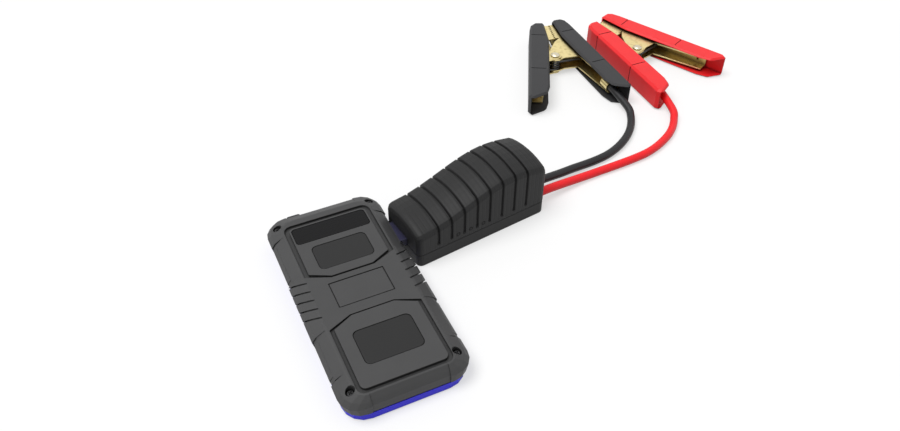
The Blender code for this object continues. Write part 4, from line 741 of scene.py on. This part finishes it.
class STARTER_OT_module(bpy.types.Operator):
    """Finishes the humped module, its lights, grommets, screws and plug"""

    bl_idname = "starter.module"
    bl_label = "Cable module"

    def execute(self, context):
        look = context.scene.starter_module
        body = tuple(look.body)
        dress(ribbed("module_ribs", body, look.roughness, 0.3), "module_top_cover")
        dress(moulded("module_plastic", body, look.roughness, specular=0.3), "module_bottom_cover")
        # Painted shade: the plug gets its blue darkened to near-black navy for the shadow between pack and
        # module.
        dress(moulded("plug_plastic", tuple(look.plug), 0.45), "plug_housing")
        smoked = Finish("smoked_lens", (0.004, 0.004, 0.0045), 0.35, specular=0.2)
        smoked.set({"Normal": smoked.bump(smoked.noise(smoked.place(), 0.5 * MM), 0.01 * MM)})
        dress(smoked.material, "led_lens_1", "led_lens_2", "led_lens_3")
        dress(sheathed("grommet_rubber", (0.02, 0.02, 0.021), 0.6, 0.3), "black_grommet", "red_grommet")
        dress(turned_steel("screw_steel", (0.6, 0.59, 0.56), 0.35), "module_screw_1", "module_screw_2")
        return {"FINISHED"}


# ---- Clamps -------------------------------------------------------------------------------------


class STARTER_OT_clamps(bpy.types.Operator):
    """Finishes both clamps, and makes smooth copies of their springs and straps"""

    bl_idname = "starter.clamps"
    bl_label = "Clamps"

    def execute(self, context):
        look = context.scene.starter_clamps
        covers = {
            "black": moulded("black_cover", tuple(look.black), 0.55, specular=0.35),
            "red": moulded("red_cover", tuple(look.red), 0.42, specular=0.35, edge_wear_and_highlight_tint=1.1),
        }
        # The last colour is painted shade for the jaws' recesses; the one before it is tarnish.
        brass = stamped_brass("brass_sheet", tuple(look.brass), (0.5, 0.4, 0.16), (0.2, 0.15, 0.07))
        pin = turned_steel("pin_steel", (0.72, 0.66, 0.5), 0.3)
        wire = turned_steel("spring_steel", (0.07, 0.07, 0.07), 0.4)
        braid = braided_copper("copper_braid", (0.66, 0.4, 0.16))
        for colour, cover in covers.items():
            dress(cover, f"{colour}_fixed_cover", f"{colour}_moving_cover")
            dress(brass, f"{colour}_fixed_jaw", f"{colour}_moving_jaw")
            dress(pin, f"{colour}_pivot_pin")
            self.bending(colour, "spring", wire, "dark_steel")
            self.bending(colour, "strap", braid, "copper")
        return {"FINISHED"}

    def bending(self, colour, kind, material, slot):
        """A smooth copy of a spring or strap, which takes the place of the frame's own and hides it."""
        facts = CABLES[colour]
        piece = smooth_copy(f"{colour}_{kind}", f"{colour}_{kind}_bent", material)
        start = clamp_point(facts, facts["side"], BEND_REACH, BEND_DEPTH)
        end = clamp_point(facts, -facts["side"], BEND_REACH, BEND_DEPTH)
        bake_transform(piece)
        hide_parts(f"{colour}_{kind}")


# ---- Stage --------------------------------------------------------------------------------------

FLOOR_HALF = 3.0
FLOOR_DROP = 0.1 * MM  # keeps the floor clear of the undersides
FLOOR_GREY = 0.35  # how much light the floor throws back up
SUN_SPREAD = radians(35)
SUN_DIRECTION = Vector((0.4, -0.05, -1.0))


def seen_directly(tree):
    """1 for what the camera, a mirror or a lens sees, and 0 for the light that falls on things."""
    path = tree.nodes.new("ShaderNodeLightPath")
    seen = path.outputs["Is Camera Ray"]
    for ray in ("Is Glossy Ray", "Is Transmission Ray"):
        either = tree.nodes.new("ShaderNodeMath")
        either.operation = "MAXIMUM"
        tree.links.new(seen, either.inputs[0])
        tree.links.new(path.outputs[ray], either.inputs[1])
        seen = either.outputs[0]
    return seen


class STARTER_OT_stage(bpy.types.Operator):
    """Makes the camera, the pale floor and the soft light"""

    bl_idname = "starter.stage"
    bl_label = "Stage"

    def execute(self, context):
        look = context.scene.starter_stage
        self.camera(context.scene)
        self.floor(look)
        self.sky(context.scene, look)
        self.lamp(context.scene, look)
        context.scene.view_settings.view_transform = "Standard"
        return {"FINISHED"}

    def camera(self, scene):
        azimuth, elevation = radians(CAMERA_AZIMUTH), radians(CAMERA_ELEVATION)
        back = Vector((sin(azimuth) * cos(elevation), -cos(azimuth) * cos(elevation), sin(elevation)))
        lens = bpy.data.cameras.new("camera")
        lens.lens = CAMERA_LENS
        lens.sensor_width = SENSOR
        lens.clip_start = 0.01
        camera = bpy.data.objects.new("camera", lens)
        scene.collection.objects.link(camera)
        camera.location = CAMERA_TARGET + back * CAMERA_DISTANCE
        camera.rotation_euler = (radians(90 - CAMERA_ELEVATION), 0, azimuth)
        scene.camera = camera

    def floor(self, look):
        paper = Finish("floor_paper", (1.0, 1.0, 1.0), 0.9, specular=0.0)
        tree = paper.tree
        seen = seen_directly(tree)
        bright = tree.nodes.new("ShaderNodeEmission")
        bright.inputs["Strength"].default_value = 1.0
        dull = tree.nodes.new("ShaderNodeBsdfDiffuse")
        dull.inputs["Color"].default_value = opaque([FLOOR_GREY] * 3)
        shown = tree.nodes.new("ShaderNodeMixShader")
        shown.inputs[0].default_value = look.shadow
        tree.links.new(bright.outputs[0], shown.inputs[1])
        tree.links.new(paper.shader.outputs[0], shown.inputs[2])
        choice = tree.nodes.new("ShaderNodeMixShader")
        tree.links.new(seen, choice.inputs[0])
        tree.links.new(dull.outputs[0], choice.inputs[1])
        tree.links.new(shown.outputs[0], choice.inputs[2])
        tree.links.new(choice.outputs[0], tree.nodes["Material Output"].inputs["Surface"])

        sheet = bpy.data.meshes.new("floor")
        shape = bmesh.new()
        bmesh.ops.create_grid(shape, x_segments=8, y_segments=8, size=FLOOR_HALF)
        shape.to_mesh(sheet)
        shape.free()
        floor = new_object("floor", sheet, paper.material)
        floor.location.z = -FLOOR_DROP

    def sky(self, scene, look):
        world = bpy.data.worlds.new("sky")
        scene.world = world
        world.use_nodes = True
        tree = world.node_tree
        seen = seen_directly(tree)
        light = tree.nodes["Background"]
        light.inputs["Color"].default_value = (1.0, 1.0, 1.0, 1.0)
        light.inputs["Strength"].default_value = look.sky
        white = tree.nodes.new("ShaderNodeBackground")
        white.inputs["Color"].default_value = (1.0, 1.0, 1.0, 1.0)
        choice = tree.nodes.new("ShaderNodeMixShader")
        tree.links.new(seen, choice.inputs[0])
        tree.links.new(light.outputs[0], choice.inputs[1])
        tree.links.new(white.outputs[0], choice.inputs[2])
        tree.links.new(choice.outputs[0], tree.nodes["World Output"].inputs["Surface"])

    def lamp(self, scene, look):
        lamp = bpy.data.lights.new("sun", "SUN")
        lamp.energy = look.sun
        lamp.angle = SUN_SPREAD
        sun = bpy.data.objects.new("sun", lamp)
        scene.collection.objects.link(sun)
        sun.rotation_euler = SUN_DIRECTION.to_track_quat("-Z", "Y").to_euler()


# ---- Panel and registration ---------------------------------------------------------------------

OPERATORS = (
    STARTER_OT_stage,
    STARTER_OT_cables,
    STARTER_OT_pack,
    STARTER_OT_ports,
    STARTER_OT_inside,
    STARTER_OT_module,
    STARTER_OT_clamps,
)


class STARTER_PT_panel(bpy.types.Panel):
    """Lists the settings and the steps that dress the frame"""

    bl_label = "Jump starter"
    bl_idname = "STARTER_PT_panel"
    bl_space_type = "VIEW_3D"
    bl_region_type = "UI"
    bl_category = "Jump starter"

    def draw(self, context):
        for name, group in SETTINGS.items():
            box = self.layout.box()
            for setting in group.__annotations__:
                box.prop(getattr(context.scene, name), setting)
        for operator in OPERATORS:
            self.layout.operator(operator.bl_idname)


CLASSES = (*SETTINGS.values(), *OPERATORS, STARTER_PT_panel)


def register():
    for made in CLASSES:
        bpy.utils.register_class(made)
    for name, group in SETTINGS.items():
        setattr(bpy.types.Scene, name, PointerProperty(type=group))


def unregister():
    for name in SETTINGS:
        delattr(bpy.types.Scene, name)
    for made in reversed(CLASSES):
        bpy.utils.unregister_class(made)


def main():
    register()
    for operator in OPERATORS:
        group, name = operator.bl_idname.split(".")
        getattr(getattr(bpy.ops, group), name)()


if __name__ == "__main__":
    main()
